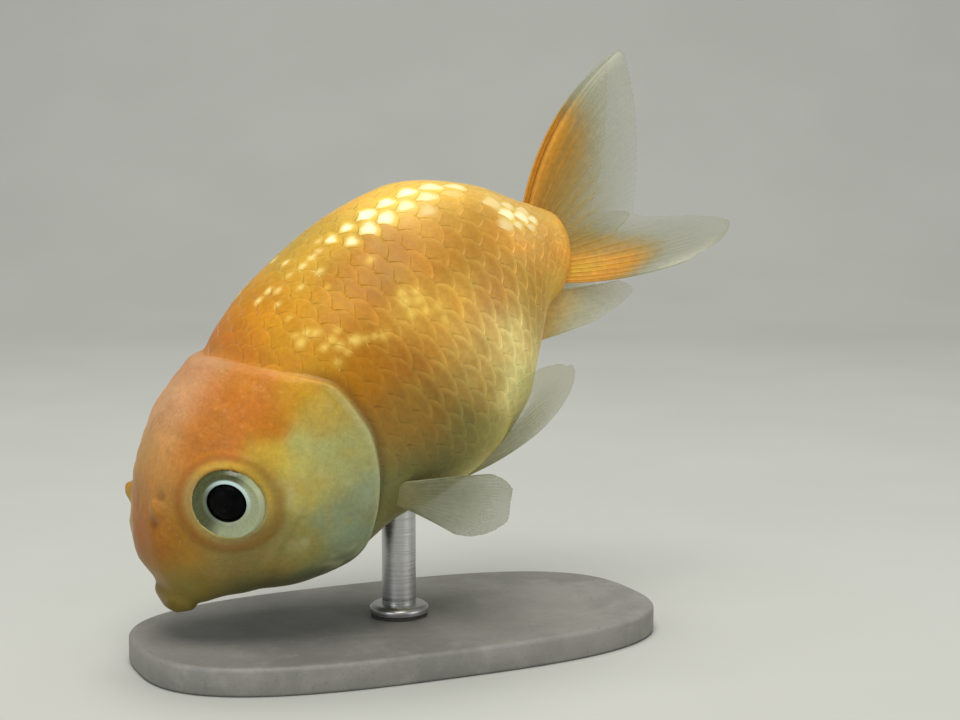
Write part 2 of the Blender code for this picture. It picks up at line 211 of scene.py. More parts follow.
def eye_distance(P):
    """distance in mm from the eye's axis; both sides of the head are the same"""
    Q = P * np.array([1, 1, 1.])
    Q = np.stack([P[..., 0], -np.abs(P[..., 1]), P[..., 2]], -1) - EYE_C
    a = Q @ EYE_N
    d = np.linalg.norm(Q - a[..., None] * EYE_N, axis=-1)
    return np.where(a > -1.0, d, 50.0)


_u = np.array([0., 0., 1.]) - EYE_N * EYE_N[2]
EYE_UP = _u / np.linalg.norm(_u)
EYE_BACK = np.cross(EYE_UP, EYE_N)


def lid_distance(P):
    """distance from the eye's middle measured against the lid's oval opening, whose edge is at 3.0"""
    Q = np.stack([P[..., 0], -np.abs(P[..., 1]), P[..., 2]], -1) - EYE_C
    d = np.hypot(Q @ EYE_BACK / 0.985, (Q @ EYE_UP) / 0.915)
    return np.where(Q @ EYE_N > -1.0, d, 50.0)


def eye_high(P):
    """-1 below the eye to 1 above and behind it"""
    Q = np.stack([P[..., 0], -np.abs(P[..., 1]), P[..., 2]], -1) - EYE_C
    up = np.array([0.45, 0, 0.89])
    return np.clip(Q @ up / 3.5, -1, 1)


def eye_behind(P):
    """0 before the eye to 1 behind it, towards the gill cover"""
    Q = np.stack([P[..., 0], -np.abs(P[..., 1]), P[..., 2]], -1) - EYE_C
    return step(Q @ EYE_BACK, 0.4, 2.6)


def relief(s, psi):
    """how far the living surface stands out of the plain section, mm"""
    e = gill_edge(psi) - s
    a = fold(psi)
    P0 = section(s, psi, 0.0)
    top = step(a, 75, 40)
    r = 0.30 * top * step(e, -0.35, 1.0) - 0.26 * top * bump(e + 0.5, 0.8)
    r = r + 0.55 * bump(near(s, psi, 12.5, 138), 4.5)
    plate = (1 - top) * step(s, 9, 15)
    r = r + 0.26 * plate * step(e, -0.06, 0.22) - 0.10 * plate * bump(e + 0.30, 0.3)
    r = r - 0.04 * plate * bump(e - 0.9, 0.28)                                   # seam before the flap's soft rim
    # cheek: groove and ridge along the front of the gill cover
    c = cheek_edge(psi) - s
    ck = step(a, 52, 66) * step(a, 172, 150)
    r = r + ck * (0.07 * bump(c - 1.0, 0.9) - 0.05 * bump(c, 0.6) + 0.03 * bump(c + 1.1, 0.8))
    r = r - 0.045 * bump((s - 8.5) - (a - 128) * 0.10, 0.30) * step(a, 106, 114) * step(a, 160, 140) * step(e, 0.6, 1.6)
    r = r + 0.10 * bump(near(s, psi, 13.2, 117), 3.2)
    # gill cover: the low bony rays that fan out from its front corner
    fan = np.arctan2(a - 78, (s - 16.0) * 9.0)
    r = r + 0.018 * plate * step(e, 0.5, 1.4) * step(-c, 0.2, 1.2) * np.sin(fan * 26 + 2 * noise(P0, 1.5, 9))
    # hood: soft lumps on the crown, finer grains over all of it
    d = eye_distance(P0)
    hood = step(e, 0.0, 1.0) * step(a, 78, 48) * step(s, 2.5, 5.5) * step(d, 3.6, 4.8)
    r = r + hood * (0.095 * noise(P0, 1.7, 3) + 0.060 * noise(P0, 0.75, 4) + 0.028 * noise(P0, 0.36, 5))
    cheeks = step(e, 0.3, 1.0) * (1 - hood) * step(d, 3.9, 4.8)
    r = r + cheeks * (0.030 * noise(P0, 1.6, 6) + 0.012 * noise(P0, 0.5, 7))
    # nostrils: a front and a rear pit with a round flap between them
    da = s - NOSTRIL_S
    rr = pchip(ST[:, 0], ST[:, 2], NOSTRIL_S)
    db = np.radians(a - NOSTRIL_PSI) * rr
    r = r + 0.22 * bump(np.hypot(da, db), 1.15)
    r = r - 0.28 * bump(np.hypot((da + 0.95) / 0.9, db), 0.45)
    r = r - 0.28 * bump(np.hypot((da - 0.80) / 0.9, db / 1.15), 0.42)
    flap = np.hypot((da + 0.05 - 0.12 * db * db) / 0.80, db / 1.10) / 0.78
    # the far flap stands up, the near one lies back against the snout
    r = r + (0.66 - 0.34 * (np.sin(psi) > 0)) * np.exp(-flap ** 4)
    r = r - 0.25 * bump(near(s, psi, NOSTRIL_S, 0), 1.4)
    r = r + 0.45 * bump(near(s, psi, 4.5, 36), 1.2)
    # lips and the fold behind them
    r = r + 0.20 * bump(s - 0.9, 0.42) - 0.16 * bump(s - 1.75, 0.34)
    r = r * closing(s)
    # orbit: the skin dips under the eyeball, and folds up round it in a soft lip
    axis = (np.stack([P0[..., 0], -np.abs(P0[..., 1]), P0[..., 2]], -1) - EYE_C) @ EYE_N
    on = np.sqrt(np.clip(EYE_R ** 2 - d * d, 0, None)) - axis
    side = eye_high(P0)
    q = lid_distance(P0)
    lip = step(q, 2.86, 3.14)
    crest = (0.15 + 0.06 * side) * bump(q - 3.45, 0.28) + 0.18 * bump(q - 4.05, 0.5) - 0.05 * bump(q - 4.7, 0.3)
    outer, over = r + crest, on + 0.10
    outer = 0.5 * (outer + over + np.sqrt((outer - over) ** 2 + 0.006))
    under = np.minimum(on - 0.08, r) - 1.5 * (1 - step(q, 2.60, 3.02))
    return np.where(d < 6, (1 - lip) * under + lip * outer, r)


# ================================================================ fins: shape
LEFT = np.array([0., -1., 0.])


def aim(deg, spread):
    return np.array([cos(radians(deg)), 0, sin(radians(deg))]) + LEFT * spread


def unit(v):
    return v / np.linalg.norm(v, axis=-1, keepdims=True)


def tail_lines(side):
    def root(s, h, w):
        c, _, n = frame_at(s)
        return c + n * h + LEFT * w * side
    d = side
    return [
        (0.00, root(44.9, 3.80, 0.60), aim(80, 0.01 * d), aim(34, 0.00 * d), 19.9),
        (0.15, root(45.5, 3.00, 0.72), aim(69, 0.08 * d), aim(47, 0.06 * d), 17.0),
        (0.32, root(46.0, 2.00, 0.90), aim(51, 0.20 * d), aim(40, 0.18 * d), 12.1),
        (0.50, root(46.5, 0.80, 1.10), aim(28, 0.36 * d), aim(22, 0.40 * d), 8.2),
        (0.72, root(46.4, -0.70, 1.15), aim(6, 0.52 * d), aim(27, 0.60 * d), 16.5),
        (1.00, root(45.6, -2.20, 1.10), aim(-2, 0.62 * d), aim(27, 0.70 * d), 13.6),
    ]


def paired_lines(s0, psi0, s1, psi1, sink, rays):
    def lines(side):
        m = np.array([1, side, 1.])
        p0 = section(np.array(s0), np.array(radians(psi0)), -sink)
        p1 = section(np.array(s1), np.array(radians(psi1)), -sink)
        return [(u, (p0 + (p1 - p0) * u) * m, aim(a0, w0 * side), aim(a1, w1 * side), ln)
                for u, a0, w0, a1, w1, ln in rays]
    return lines


PECTORAL = paired_lines(18.5, 119, 18.5, 130, 1.2, [
    (0.0, 12, 0.55, 3, 0.40, 11.8), (0.5, -7, 0.50, -16, 0.40, 11.4), (1.0, -25, 0.45, -36, 0.35, 8.3)])
PELVIC = paired_lines(21.4, 157, 22.6, 169, 1.2, [
    (0.0, 50, 0.52, 60, 0.36, 15.8), (0.5, 34, 0.42, 50, 0.32, 17.8), (1.0, 14, 0.36, 48, 0.26, 15.0)])
ANAL = paired_lines(41.6, 172, 45.6, 162, 1.0, [
    (0.0, 15, 0.30, 25, 0.30, 7.8), (0.5, 12, 0.32, 18, 0.30, 9.0), (1.0, 8, 0.36, 12, 0.32, 7.4)])


def corner(u, cut):
    """shortens a fin's first and last rays by the share `cut`, which rounds its corners"""
    return 1 - cut * (np.exp(-u / 0.09) + np.exp(-(1 - u) / 0.09))


def fin_sheet(lines, u, v, reach):
    """points of the fin's middle surface; reach scales each ray's length"""
    k = [q[0] for q in lines]

    def curve(i):
        return np.stack([pchip(k, [q[i][j] for q in lines], u) for j in range(3)], -1)
    root, d0, d1 = curve(1), unit(curve(2)), unit(curve(3))
    ln = pchip(k, [q[4] for q in lines], u)
    w = v[None, :, None] * reach[:, None, None]
    return root[:, None, :] + ln[:, None, None] * (d0[:, None, :] * (w - w * w / 2) + d1[:, None, :] * w * w / 2)


def ray_ridge(u, v, count, split1=0.42, split2=0.72):
    """1 on a fin ray, 0 between; each ray forks twice towards the edge"""
    f = (u * count) % 1.0 - 0.5
    d1 = 0.25 * step(v, split1, split1 + 0.35)
    d2 = 0.125 * step(v, split2, split2 + 0.25)
    d = np.abs(np.abs(np.abs(f) - d1) - d2)
    w = 0.13 - 0.085 * v
    return np.exp(-(d / w) ** 2)


FINS = {}       # name: (lines, rays, nu, nv, colours)


# ================================================================ colours
def srgb(r, g, b):
    c = np.array([r, g, b]) / 255.0
    return np.where(c <= 0.04045, c / 12.92, ((c + 0.055) / 1.055) ** 2.4)


# name: place along the spine, angle from the back, reach along, reach round, colour
# snout_top, snout_front, chin, throat, flank_low, belly_front and belly_middle hold painted shade, darker where the
# light from above falls off, on top of the fish's own colour
TONES = {
    'lip':          (0.8,  90, 1.5, 200, (122, 104, 38)),
    'snout_top':    (5.4,   8, 2.8,  36, (154, 90, 4)),
    'snout_front':  (4.2,  38, 1.6,  16, (153, 90, 2)),
    'snout_side':   (5.8,  60, 2.2,  18, (160, 118, 26)),
    'muzzle':       (2.6,  74, 1.5,  40, (133, 120, 48)),
    'chin':         (4.0, 140, 3.0,  45, (92, 86, 44)),
    'brow':         (9.0,  14, 2.6,  24, (196, 147, 80)),
    'crown':        (13.0,  6, 3.0,  20, (203, 151, 105)),
    'hood_side':    (12.0, 40, 3.0,  15, (188, 110, 20)),
    'nape':         (17.0,  8, 2.2,  20, (182, 132, 88)),
    'hood_rear':    (17.0, 38, 2.0,  13, (192, 116, 20)),
    'temple':       (16.0, 59, 1.4,   6, (180, 111, 1)),
    'eye_streak':   (14.2, 69, 1.0,   8, (214, 172, 56)),
    'cheek_front':  (6.4,  88, 2.2,  16, (136, 118, 62)),
    'cheek_under':  (9.0, 106, 2.4,  14, (148, 131, 70)),
    'cheek_band':   (14.3, 85, 1.7,   9, (182, 166, 80)),
    'gill_top':     (19.6, 60, 1.5,   7, (198, 141, 18)),
    'gill_upper':   (19.6, 74, 1.6,   8, (186, 156, 62)),
    'gill_middle':  (18.0, 90, 2.4,  12, (167, 166, 103)),
    'gill_low':     (14.0, 120, 2.6, 14, (135, 148, 114)),
    'gill_front_low': (10.6, 112, 1.6, 10, (157, 149, 71)),
    'throat':       (9.5, 158, 4.0,  26, (91, 96, 70)),
    'gill_corner':  (18.2, 110, 1.2,  8, (148, 160, 126)),
    'back_front':   (21.8, 12, 2.6,  24, (203, 133, 28)),
    'back_middle':  (28.5, 12, 4.0,  24, (196, 155, 54)),
    'upper_gold':   (28.6, 44, 2.2,   8, (200, 140, 34)),
    'back_rear':    (37.0, 16, 4.0,  28, (235, 188, 77)),
    'nape_back':    (19.6, 12, 1.3,  20, (176, 103, 35)),
    'shoulder':     (23.5, 46, 3.0,  20, (204, 143, 24)),
    'flank_upper':  (31.0, 44, 4.0,  14, (168, 106, 18)),
    'upper_rear':   (38.0, 52, 3.0,  16, (187, 134, 50)),
    'saddle':       (34.8, 61, 2.2,   8, (166, 112, 34)),
    'flank_gold':   (24.5, 70, 2.6,  12, (166, 103, 5)),
    'flank_dusk':   (27.6, 83, 2.0,   7, (146, 92, 14)),
    'flank_middle': (31.0, 74, 3.6,  16, (209, 159, 63)),
    'flank_low':    (25.0, 100, 3.6, 12, (149, 106, 30)),
    'low_rear':     (32.0, 100, 3.0, 10, (196, 154, 72)),
    'belly_spot':   (32.2, 111, 1.8,  6, (168, 138, 60)),
    'rear_dusk':    (37.4, 86, 2.0,   9, (190, 136, 60)),
    'belly_front':  (21.5, 125, 3.5, 20, (119, 114, 62)),
    'belly_middle': (27.0, 128, 4.0, 20, (130, 118, 56)),
    'belly_low':    (30.0, 156, 5.0, 20, (204, 190, 94)),
    'belly_rear':   (36.0, 118, 3.6, 20, (252, 236, 156)),
    'vent':         (40.6, 108, 2.6, 24, (188, 143, 54)),
    'vent_low':     (40.0, 160, 3.0, 22, (222, 216, 134)),
    'stalk_top':    (43.0, 28, 2.8,  30, (203, 166, 87)),
    'stalk_side':   (44.0, 76, 3.0,  24, (225, 164, 78)),
    'stalk_low':    (44.5, 140, 3.0, 34, (234, 190, 84)),
    'stalk_tip':    (48.0, 90, 1.6, 120, (244, 182, 80)),
}
_tz = np.array([t[:4] for t in TONES.values()], float)
_tc = np.array([srgb(*t[4]) for t in TONES.values()])


def tone(s, psi):
    """the fish's markings, with painted shade in the darker zones of the snout, chin, throat and lower front flank; one
    smooth function of place for skin and scales alike
    """
    a = fold(psi)
    w = np.exp(-((np.asarray(s)[..., None] - _tz[:, 0]) / _tz[:, 2]) ** 2
               - ((a[..., None] - _tz[:, 1]) / _tz[:, 3]) ** 2) + 1e-9
    # the gill edge is a real border of colour: zones on its far side count less
    ahead = step(gill_edge(psi) - s, -0.25, 0.15)
    zone_ahead = (_tz[:, 0] < pchip(GE[:, 0], GE[:, 1], np.clip(_tz[:, 1], 0, 180))).astype(float)
    same = ahead[..., None] * zone_ahead + (1 - ahead[..., None]) * (1 - zone_ahead)
    w = w * (0.10 + 0.90 * same)
    return (w[..., None] * _tc).sum(-2) / w.sum(-1)[..., None]


def body_tone(s, psi):
    """markings with the mottling, eye rim and gill rim laid on"""
    P = section(s, psi, 0.0)
    c = tone(s, psi)
    m = 1 + 0.10 * noise(P, 3.2, 11) + 0.07 * noise(P, 1.3, 12)
    hue = 0.10 * noise(P, 2.4, 13) + 0.06 * noise(P, 1.0, 14)
    c = c * m[..., None] * np.stack([1 + hue * 0.4, 1 - hue * 0.5, 1 - hue * 1.2], -1)
    a = fold(psi)
    e = gill_edge(psi) - s
    # the gill cover is clouded: pale silvery patches and yellow ones
    gill = step(e, 0.1, 1.2) * step(a, 66, 80) * step(a, 158, 140) * step(s, 8.5, 12.5)
    cloud = noise(P, 1.9, 15) + 0.6 * noise(P, 0.8, 16)
    w = (gill * step(cloud, 0.15, 1.0) * 0.45)[..., None]
    c = c * (1 - w) + w * srgb(196, 198, 152)
    w = (gill * step(-cloud, 0.2, 1.1) * 0.40)[..., None]
    c = c * (1 - w) + w * srgb(164, 140, 52)
    # an irregular yellow patch on the right side of the snout only
    w = (0.75 * bump(s - 5.3, 1.5) * bump((np.degrees(psi) + 180) % 360 - 180 + 24, 8.0))[..., None]
    c = c * (1 - w) + w * srgb(184, 160, 62)
    # eyelid fold: yellow above and behind, pale olive below
    d = lid_distance(P)
    high = eye_high(P)
    rim = (bump(d - 3.38, 0.36) * (0.70 + 0.28 * high))[..., None]
    hi = step(high, -0.5, 0.5)[..., None]
    c = c * (1 - rim) + rim * (srgb(216, 178, 66) * hi + srgb(166, 150, 92) * (1 - hi))
    ring = (bump(d - 4.10, 0.42) * (0.38 - 0.16 * high))[..., None]
    c = c * (1 - ring) + ring * srgb(140, 80, 16)
    # painted shade: a thin dark line along the upper inner edge of the lid
    c = c * (1 - 0.28 * bump(d - 3.03, 0.10)[..., None] * hi)
    # painted shade: the hollow behind the eye is darkened to a duller ochre
    behind_eye_shade = (bump(d - 3.95, 0.80) * eye_behind(P) * 0.66)[..., None]
    c = c * (1 - behind_eye_shade) + behind_eye_shade * srgb(136, 104, 34)
    # painted light: the lower inner wall of the lid is paled
    wall = 0.8 * bump(d - 2.86, 0.20)[..., None] * (1 - hi)
    c = c * (1 - wall) + wall * srgb(206, 204, 150)
    flap = (bump(e - 0.3, 0.32) * step(a, 62, 80) * step(a, 172, 150) * 0.35)[..., None]
    c = c * (1 - flap) + flap * srgb(206, 200, 150)
    # painted shade along the groove at the front of the gill cover
    groove_shade = bump(cheek_edge(psi) - s, 0.5) * step(a, 56, 70) * step(a, 165, 140) * 0.07
    c = c * (1 - groove_shade[..., None])
    # the shadowed groove behind the gill cover
    groove = bump(e + 0.35, 0.5) * step(a, 40, 66)
    c = c * (1 - 0.30 * groove[..., None])
    # painted shade darkens the pits of the nostrils; the flap is a little lighter
    da, db = s - NOSTRIL_S, np.radians(a - NOSTRIL_PSI) * 7.2
    pit_shade = bump(np.hypot(da + 0.95, db), 0.45) + bump(np.hypot(da - 0.8, db), 0.45)
    c = c * (1 - 0.38 * np.clip(pit_shade, 0, 1)[..., None])
    flp = bump(np.hypot((da + 0.1) / 0.6, db / 1.2), 0.7)[..., None]
    c = c * (1 + 0.12 * flp)
    return np.clip(c, 0.002, 0.95)


# ================================================================ mesh helpers
def make_mesh(name, V, faces, mats, index=None, colours=None, floats=None, uv=None, uv_name='OFBake', smooth=True):
    me = bpy.data.meshes.new(name)
    me.from_pydata((V * MM).tolist(), [], faces)
    for m in mats:
        me.materials.append(m)
    if index is not None:
        me.polygons.foreach_set('material_index', np.asarray(index, dtype=np.int32))
    for k, c in (colours or {}).items():
        at = me.color_attributes.new(k, 'FLOAT_COLOR', 'POINT')
        c4 = np.ones((len(V), 4), dtype=np.float32)
        c4[:, :3] = c
        at.data.foreach_set('color', c4.ravel())
    for k, f in (floats or {}).items():
        at = me.attributes.new(k, 'FLOAT', 'POINT')
        at.data.foreach_set('value', np.asarray(f, dtype=np.float32))
    if uv is not None:
        lay = me.uv_layers.new(name=uv_name)
        li = np.zeros(len(me.loops), dtype=np.int32)
        me.loops.foreach_get('vertex_index', li)
        lay.data.foreach_set('uv', np.asarray(uv, dtype=np.float32)[li].ravel())
    if smooth:
        me.shade_smooth()
    me.update()
    ob = bpy.data.objects.new(name, me)
    bpy.context.scene.collection.objects.link(ob)
    return ob


def grid_faces(nr, nc, start=0, wrap=False, flip=False):
    """quads of a grid of nr rows by nc columns whose points start at `start`"""
    i = np.arange(nr - 1)[:, None]
    j = np.arange(nc if wrap else nc - 1)[None, :]
    k = (j + 1) % nc
    q = np.stack([i * nc + j, i * nc + k, (i + 1) * nc + k, (i + 1) * nc + j], -1).reshape(-1, 4) + start
    return q[:, ::-1] if flip else q


# ================================================================ node helpers
class Nodes:
    def __init__(self, name):
        self.m = bpy.data.materials.new(name)
        self.m.use_nodes = True
        self.t = self.m.node_tree
        self.b = self.t.nodes['Principled BSDF']
        self.out = self.t.nodes['Material Output']

    def add(self, kind, **kw):
        n = self.t.nodes.new(kind)
        for k, v in kw.items():
            setattr(n, k, v)
        return n

    def link(self, a, b):
        self.t.links.new(a, b)

    def put(self, sock, v):
        if isinstance(v, bpy.types.NodeSocket):
            self.link(v, sock)
        elif hasattr(sock.default_value, '__len__') and not isinstance(v, (int, float)):
            sock.default_value = (*v, 1.0) if len(sock.default_value) == 4 and len(v) == 3 else v
        else:
            sock.default_value = v

    def attr(self, name, kind='Fac'):
        n = self.add('ShaderNodeAttribute', attribute_name=name)
        return n.outputs[kind]

    def coords(self):
        return self.add('ShaderNodeTexCoord').outputs['Object']

    def noise(self, size, detail=2.0, rough=0.55, vec=None, distort=0.0):
        n = self.add('ShaderNodeTexNoise')
        n.inputs['Scale'].default_value = 1.0 / (size * MM)
        n.inputs['Detail'].default_value = detail
        n.inputs['Roughness'].default_value = rough
        n.inputs['Distortion'].default_value = distort
        self.link(vec or self.coords(), n.inputs['Vector'])
        return n.outputs['Fac']

    def cells(self, size, feature='F1', vec=None):
        n = self.add('ShaderNodeTexVoronoi', feature=feature)
        n.inputs['Scale'].default_value = 1.0 / (size * MM)
        self.link(vec or self.coords(), n.inputs['Vector'])
        return n.outputs['Distance']

    def math(self, op, a, b=0.0, c=None, clamp=False):
        n = self.add('ShaderNodeMath', operation=op, use_clamp=clamp)
        self.put(n.inputs[0], a)
        self.put(n.inputs[1], b)
        if c is not None:
            self.put(n.inputs[2], c)
        return n.outputs[0]

    def span(self, v, a, b, lo=0.0, hi=1.0, smooth=True):
        n = self.add('ShaderNodeMapRange', interpolation_type='SMOOTHSTEP' if smooth else 'LINEAR')
        self.put(n.inputs[0], v)
        for k, x in zip((1, 2, 3, 4), (a, b, lo, hi)):
            n.inputs[k].default_value = x
        return n.outputs[0]

    def mix(self, fac, a, b, mode='MIX'):
        n = self.add('ShaderNodeMix', data_type='RGBA', blend_type=mode)
        n.clamp_factor = True
        self.put(n.inputs[0], fac)
        self.put(n.inputs[6], a)
        self.put(n.inputs[7], b)
        return n.outputs[2]

    def bump(self, height, strength, distance, normal=None):
        n = self.add('ShaderNodeBump')
        n.inputs['Strength'].default_value = strength
        n.inputs['Distance'].default_value = distance * MM
        self.link(height, n.inputs['Height'])
        if normal is not None:
            self.link(normal, n.inputs['Normal'])
        return n.outputs['Normal']


# ================================================================ materials
def skin_material():
    k = Nodes('live_skin')
    base = k.attr('tone', 'Color')
    grain = k.noise(0.42, 3.0, 0.6)
    fine = k.noise(0.16, 2.0, 0.5)
    hood = k.attr('hood')
    shade = k.math('ADD', k.span(grain, 0.3, 0.7, 0.90, 1.10, False), k.span(fine, 0.3, 0.7, -0.05, 0.05, False))
    col = k.mix(1.0, base, k.mix(0.0, (1, 1, 1), (1, 1, 1)), 'MULTIPLY')
    n = k.add('ShaderNodeVectorMath', operation='SCALE')
    k.link(base, n.inputs[0])
    k.link(shade, n.inputs[3])
    col = n.outputs[0]
    # pale grains that stand on the hood
    grains = k.cells(0.50)
    pale = k.math('MULTIPLY', k.span(grains, 0.45, 0.05, 0.0, 0.08), hood)
    col = k.mix(pale, col, (0.80, 0.45, 0.22))
    k.link(col, k.b.inputs['Base Color'])
    k.link(k.span(grain, 0.3, 0.7, 0.40, 0.52, False), k.b.inputs['Roughness'])
    k.b.inputs['Coat Weight'].default_value = 0.06
    k.b.inputs['Coat Roughness'].default_value = 0.25
    k.b.inputs['Specular IOR Level'].default_value = 0.28
    k.b.inputs['Sheen Weight'].default_value = 0.15
    k.b.inputs['Sheen Roughness'].default_value = 0.20
    k.b.inputs['Sheen Tint'].default_value = (1.0, 0.80, 0.68, 1)
    k.b.inputs['Subsurface Weight'].default_value = 0.25
    k.b.inputs['Subsurface Radius'].default_value = (0.0012, 0.0006, 0.0003)
    k.b.inputs['Subsurface Scale'].default_value = 0.6
    h1 = k.math('MULTIPLY', k.span(grains, 0.5, 0.0, 0.0, 1.0), hood)
    nb = k.bump(h1, 0.24, 0.08)
    nb = k.bump(fine, 0.30, 0.05, nb)
    k.link(nb, k.b.inputs['Normal'])
    return k.m


def fin_material():
    k = Nodes('live_fin')
    base = k.attr('tone', 'Color')
    ray = k.attr('ray')
    grain = k.noise(0.5, 3.0, 0.6)
    n = k.add('ShaderNodeVectorMath', operation='SCALE')
    k.link(base, n.inputs[0])
    k.link(k.span(grain, 0.3, 0.7, 0.90, 1.10, False), n.inputs[3])
    k.link(n.outputs[0], k.b.inputs['Base Color'])
    clear = k.math('MULTIPLY', k.attr('solid'), k.span(grain, 0.25, 0.75, 0.95, 1.04, False), clamp=True)
    k.b.inputs['Roughness'].default_value = 0.42
    k.b.inputs['Specular IOR Level'].default_value = 0.3
    glow = k.add('ShaderNodeBsdfTranslucent')
    k.link(n.outputs[0], glow.inputs['Color'])
    both = k.add('ShaderNodeMixShader')
    both.inputs[0].default_value = 0.48
    k.link(k.b.outputs[0], both.inputs[1])
    k.link(glow.outputs[0], both.inputs[2])
    see = k.add('ShaderNodeBsdfTransparent')
    mx = k.add('ShaderNodeMixShader')
    k.link(clear, mx.inputs[0])
    k.link(see.outputs[0], mx.inputs[1])
    k.link(both.outputs[0], mx.inputs[2])
    k.link(mx.outputs[0], k.out.inputs['Surface'])
    # joints of the rays: fine cross marks
    w = k.add('ShaderNodeMath', operation='SINE')
    k.link(k.math('MULTIPLY', k.attr('along'), 150.0), w.inputs[0])
    cross = k.math('MULTIPLY', k.span(w.outputs[0], 0.2, 1.0, 0.0, 1.0), ray)
    k.link(k.bump(cross, 0.35, 0.04), k.b.inputs['Normal'])
    return k.m


def scale_material():
    k = Nodes('live_scales')
    base = k.attr('tone', 'Color')
    glint = k.attr('glint')
    halo = k.attr('halo')
    rim = k.attr('rim')
    grain = k.noise(0.35, 2.0, 0.5)
    n = k.add('ShaderNodeVectorMath', operation='SCALE')
    k.link(base, n.inputs[0])
    k.link(k.span(grain, 0.3, 0.7, 0.92, 1.08, False), n.inputs[3])
    # the pale free edge is lighter, partly a painted highlight; the hollow before it darker, painted shade
    lit = k.add('ShaderNodeVectorMath', operation='MULTIPLY_ADD')
    k.link(n.outputs[0], lit.inputs[0])
    lit.inputs[1].default_value = (1.16, 1.24, 1.30)
    lit.inputs[2].default_value = (0.035, 0.028, 0.010)
    col = k.mix(rim, n.outputs[0], lit.outputs[0])
    shaded = k.add('ShaderNodeVectorMath', operation='MULTIPLY')
    k.link(col, shaded.inputs[0])
    shaded.inputs[1].default_value = (0.80, 0.70, 0.55)
    col = k.mix(k.attr('hollow_shade'), col, shaded.outputs[0])
    # painted highlights: a golden halo and a near-white glint
    col = k.mix(halo, col, (0.95, 0.66, 0.08))
    col = k.mix(glint, col, (1.0, 0.95, 0.62))
    k.link(col, k.b.inputs['Base Color'])
    k.b.inputs['Metallic'].default_value = 0.0
    k.b.inputs['Specular IOR Level'].default_value = 0.22
    k.link(k.span(grain, 0.3, 0.7, 0.42, 0.54, False), k.b.inputs['Roughness'])
    k.b.inputs['Coat Weight'].default_value = 0.04
    k.b.inputs['Coat Roughness'].default_value = 0.20
    k.b.inputs['Sheen Weight'].default_value = 0.36
    k.b.inputs['Sheen Roughness'].default_value = 0.20
    k.b.inputs['Sheen Tint'].default_value = (1.0, 0.85, 0.74, 1)
    # growth rings and the grooves that fan out from the root, both very fine
    w = k.add('ShaderNodeMath', operation='SINE')
    k.link(k.math('MULTIPLY', k.attr('ring'), 60.0), w.inputs[0])
    g = k.add('ShaderNodeMath', operation='SINE')
    k.link(k.math('MULTIPLY', k.attr('fan'), 26.0), g.inputs[0])
    nb = k.bump(w.outputs[0], 0.05, 0.012)
    nb = k.bump(k.span(g.outputs[0], 0.75, 1.0, 0.0, -1.0), 0.10, 0.015, nb)
    k.link(nb, k.b.inputs['Normal'])
    return k.m


# ================================================================ the skin
def psi_lines():
    half = np.concatenate([np.linspace(0, 38, 21)[:-1], np.linspace(38, 102, 62)[:-1], np.linspace(102, 180, 42)])
    return np.radians(np.concatenate([half, 360 - half[-2:0:-1]]))


def skin_rows(psi):
    edge = gill_edge(psi)
    one = np.ones_like(psi)
    rows = [one * s for s in np.arange(0.30, 2.2, 0.1)]
    rows += [one * s for s in np.arange(2.2, 8.95, 0.155)]
    rows += [9.0 + (edge - 0.35 - 9.0) * t for t in np.linspace(0, 1, 62)]
    rows += [edge + o for o in (-0.25, -0.16, -0.09, -0.04, 0.0, 0.04, 0.1, 0.2, 0.35, 0.5)]
    rows += [edge + 0.5 + (46.7 - edge - 0.5) * t for t in np.linspace(0, 1, 52)[1:]]
    rows += [one * s for s in (47.0, 47.3, 47.6, 47.9, 48.15, 48.3, 48.42, 48.48)]
    return np.array(rows)


def coat_depth(s, psi):
    """0 where the skin is bare, 1 where scales lie on it"""
    return step(s - gill_edge(psi), -0.05, 0.6) * (1 - step(s, 47.2, 48.3))


def fin_points():
    pts = []
    for nm, f in FINS.items():
        P = fin_sheet(f['lines'], np.linspace(0, 1, 26), np.linspace(0.02, 0.35, 12), np.ones(26))
        pts.append(P.reshape(-1, 3))
    return np.concatenate(pts)


def fin_fillet(P):
    """0 to 1: how near a point of the body is to where a fin grows out of it"""
    Q = fin_points()
    out = np.zeros(len(P))
    for i in range(0, len(P), 4000):
        d = P[i:i + 4000, None, :] - Q[None]
        out[i:i + 4000] = np.sqrt((d * d).sum(-1)).min(1)
    return out


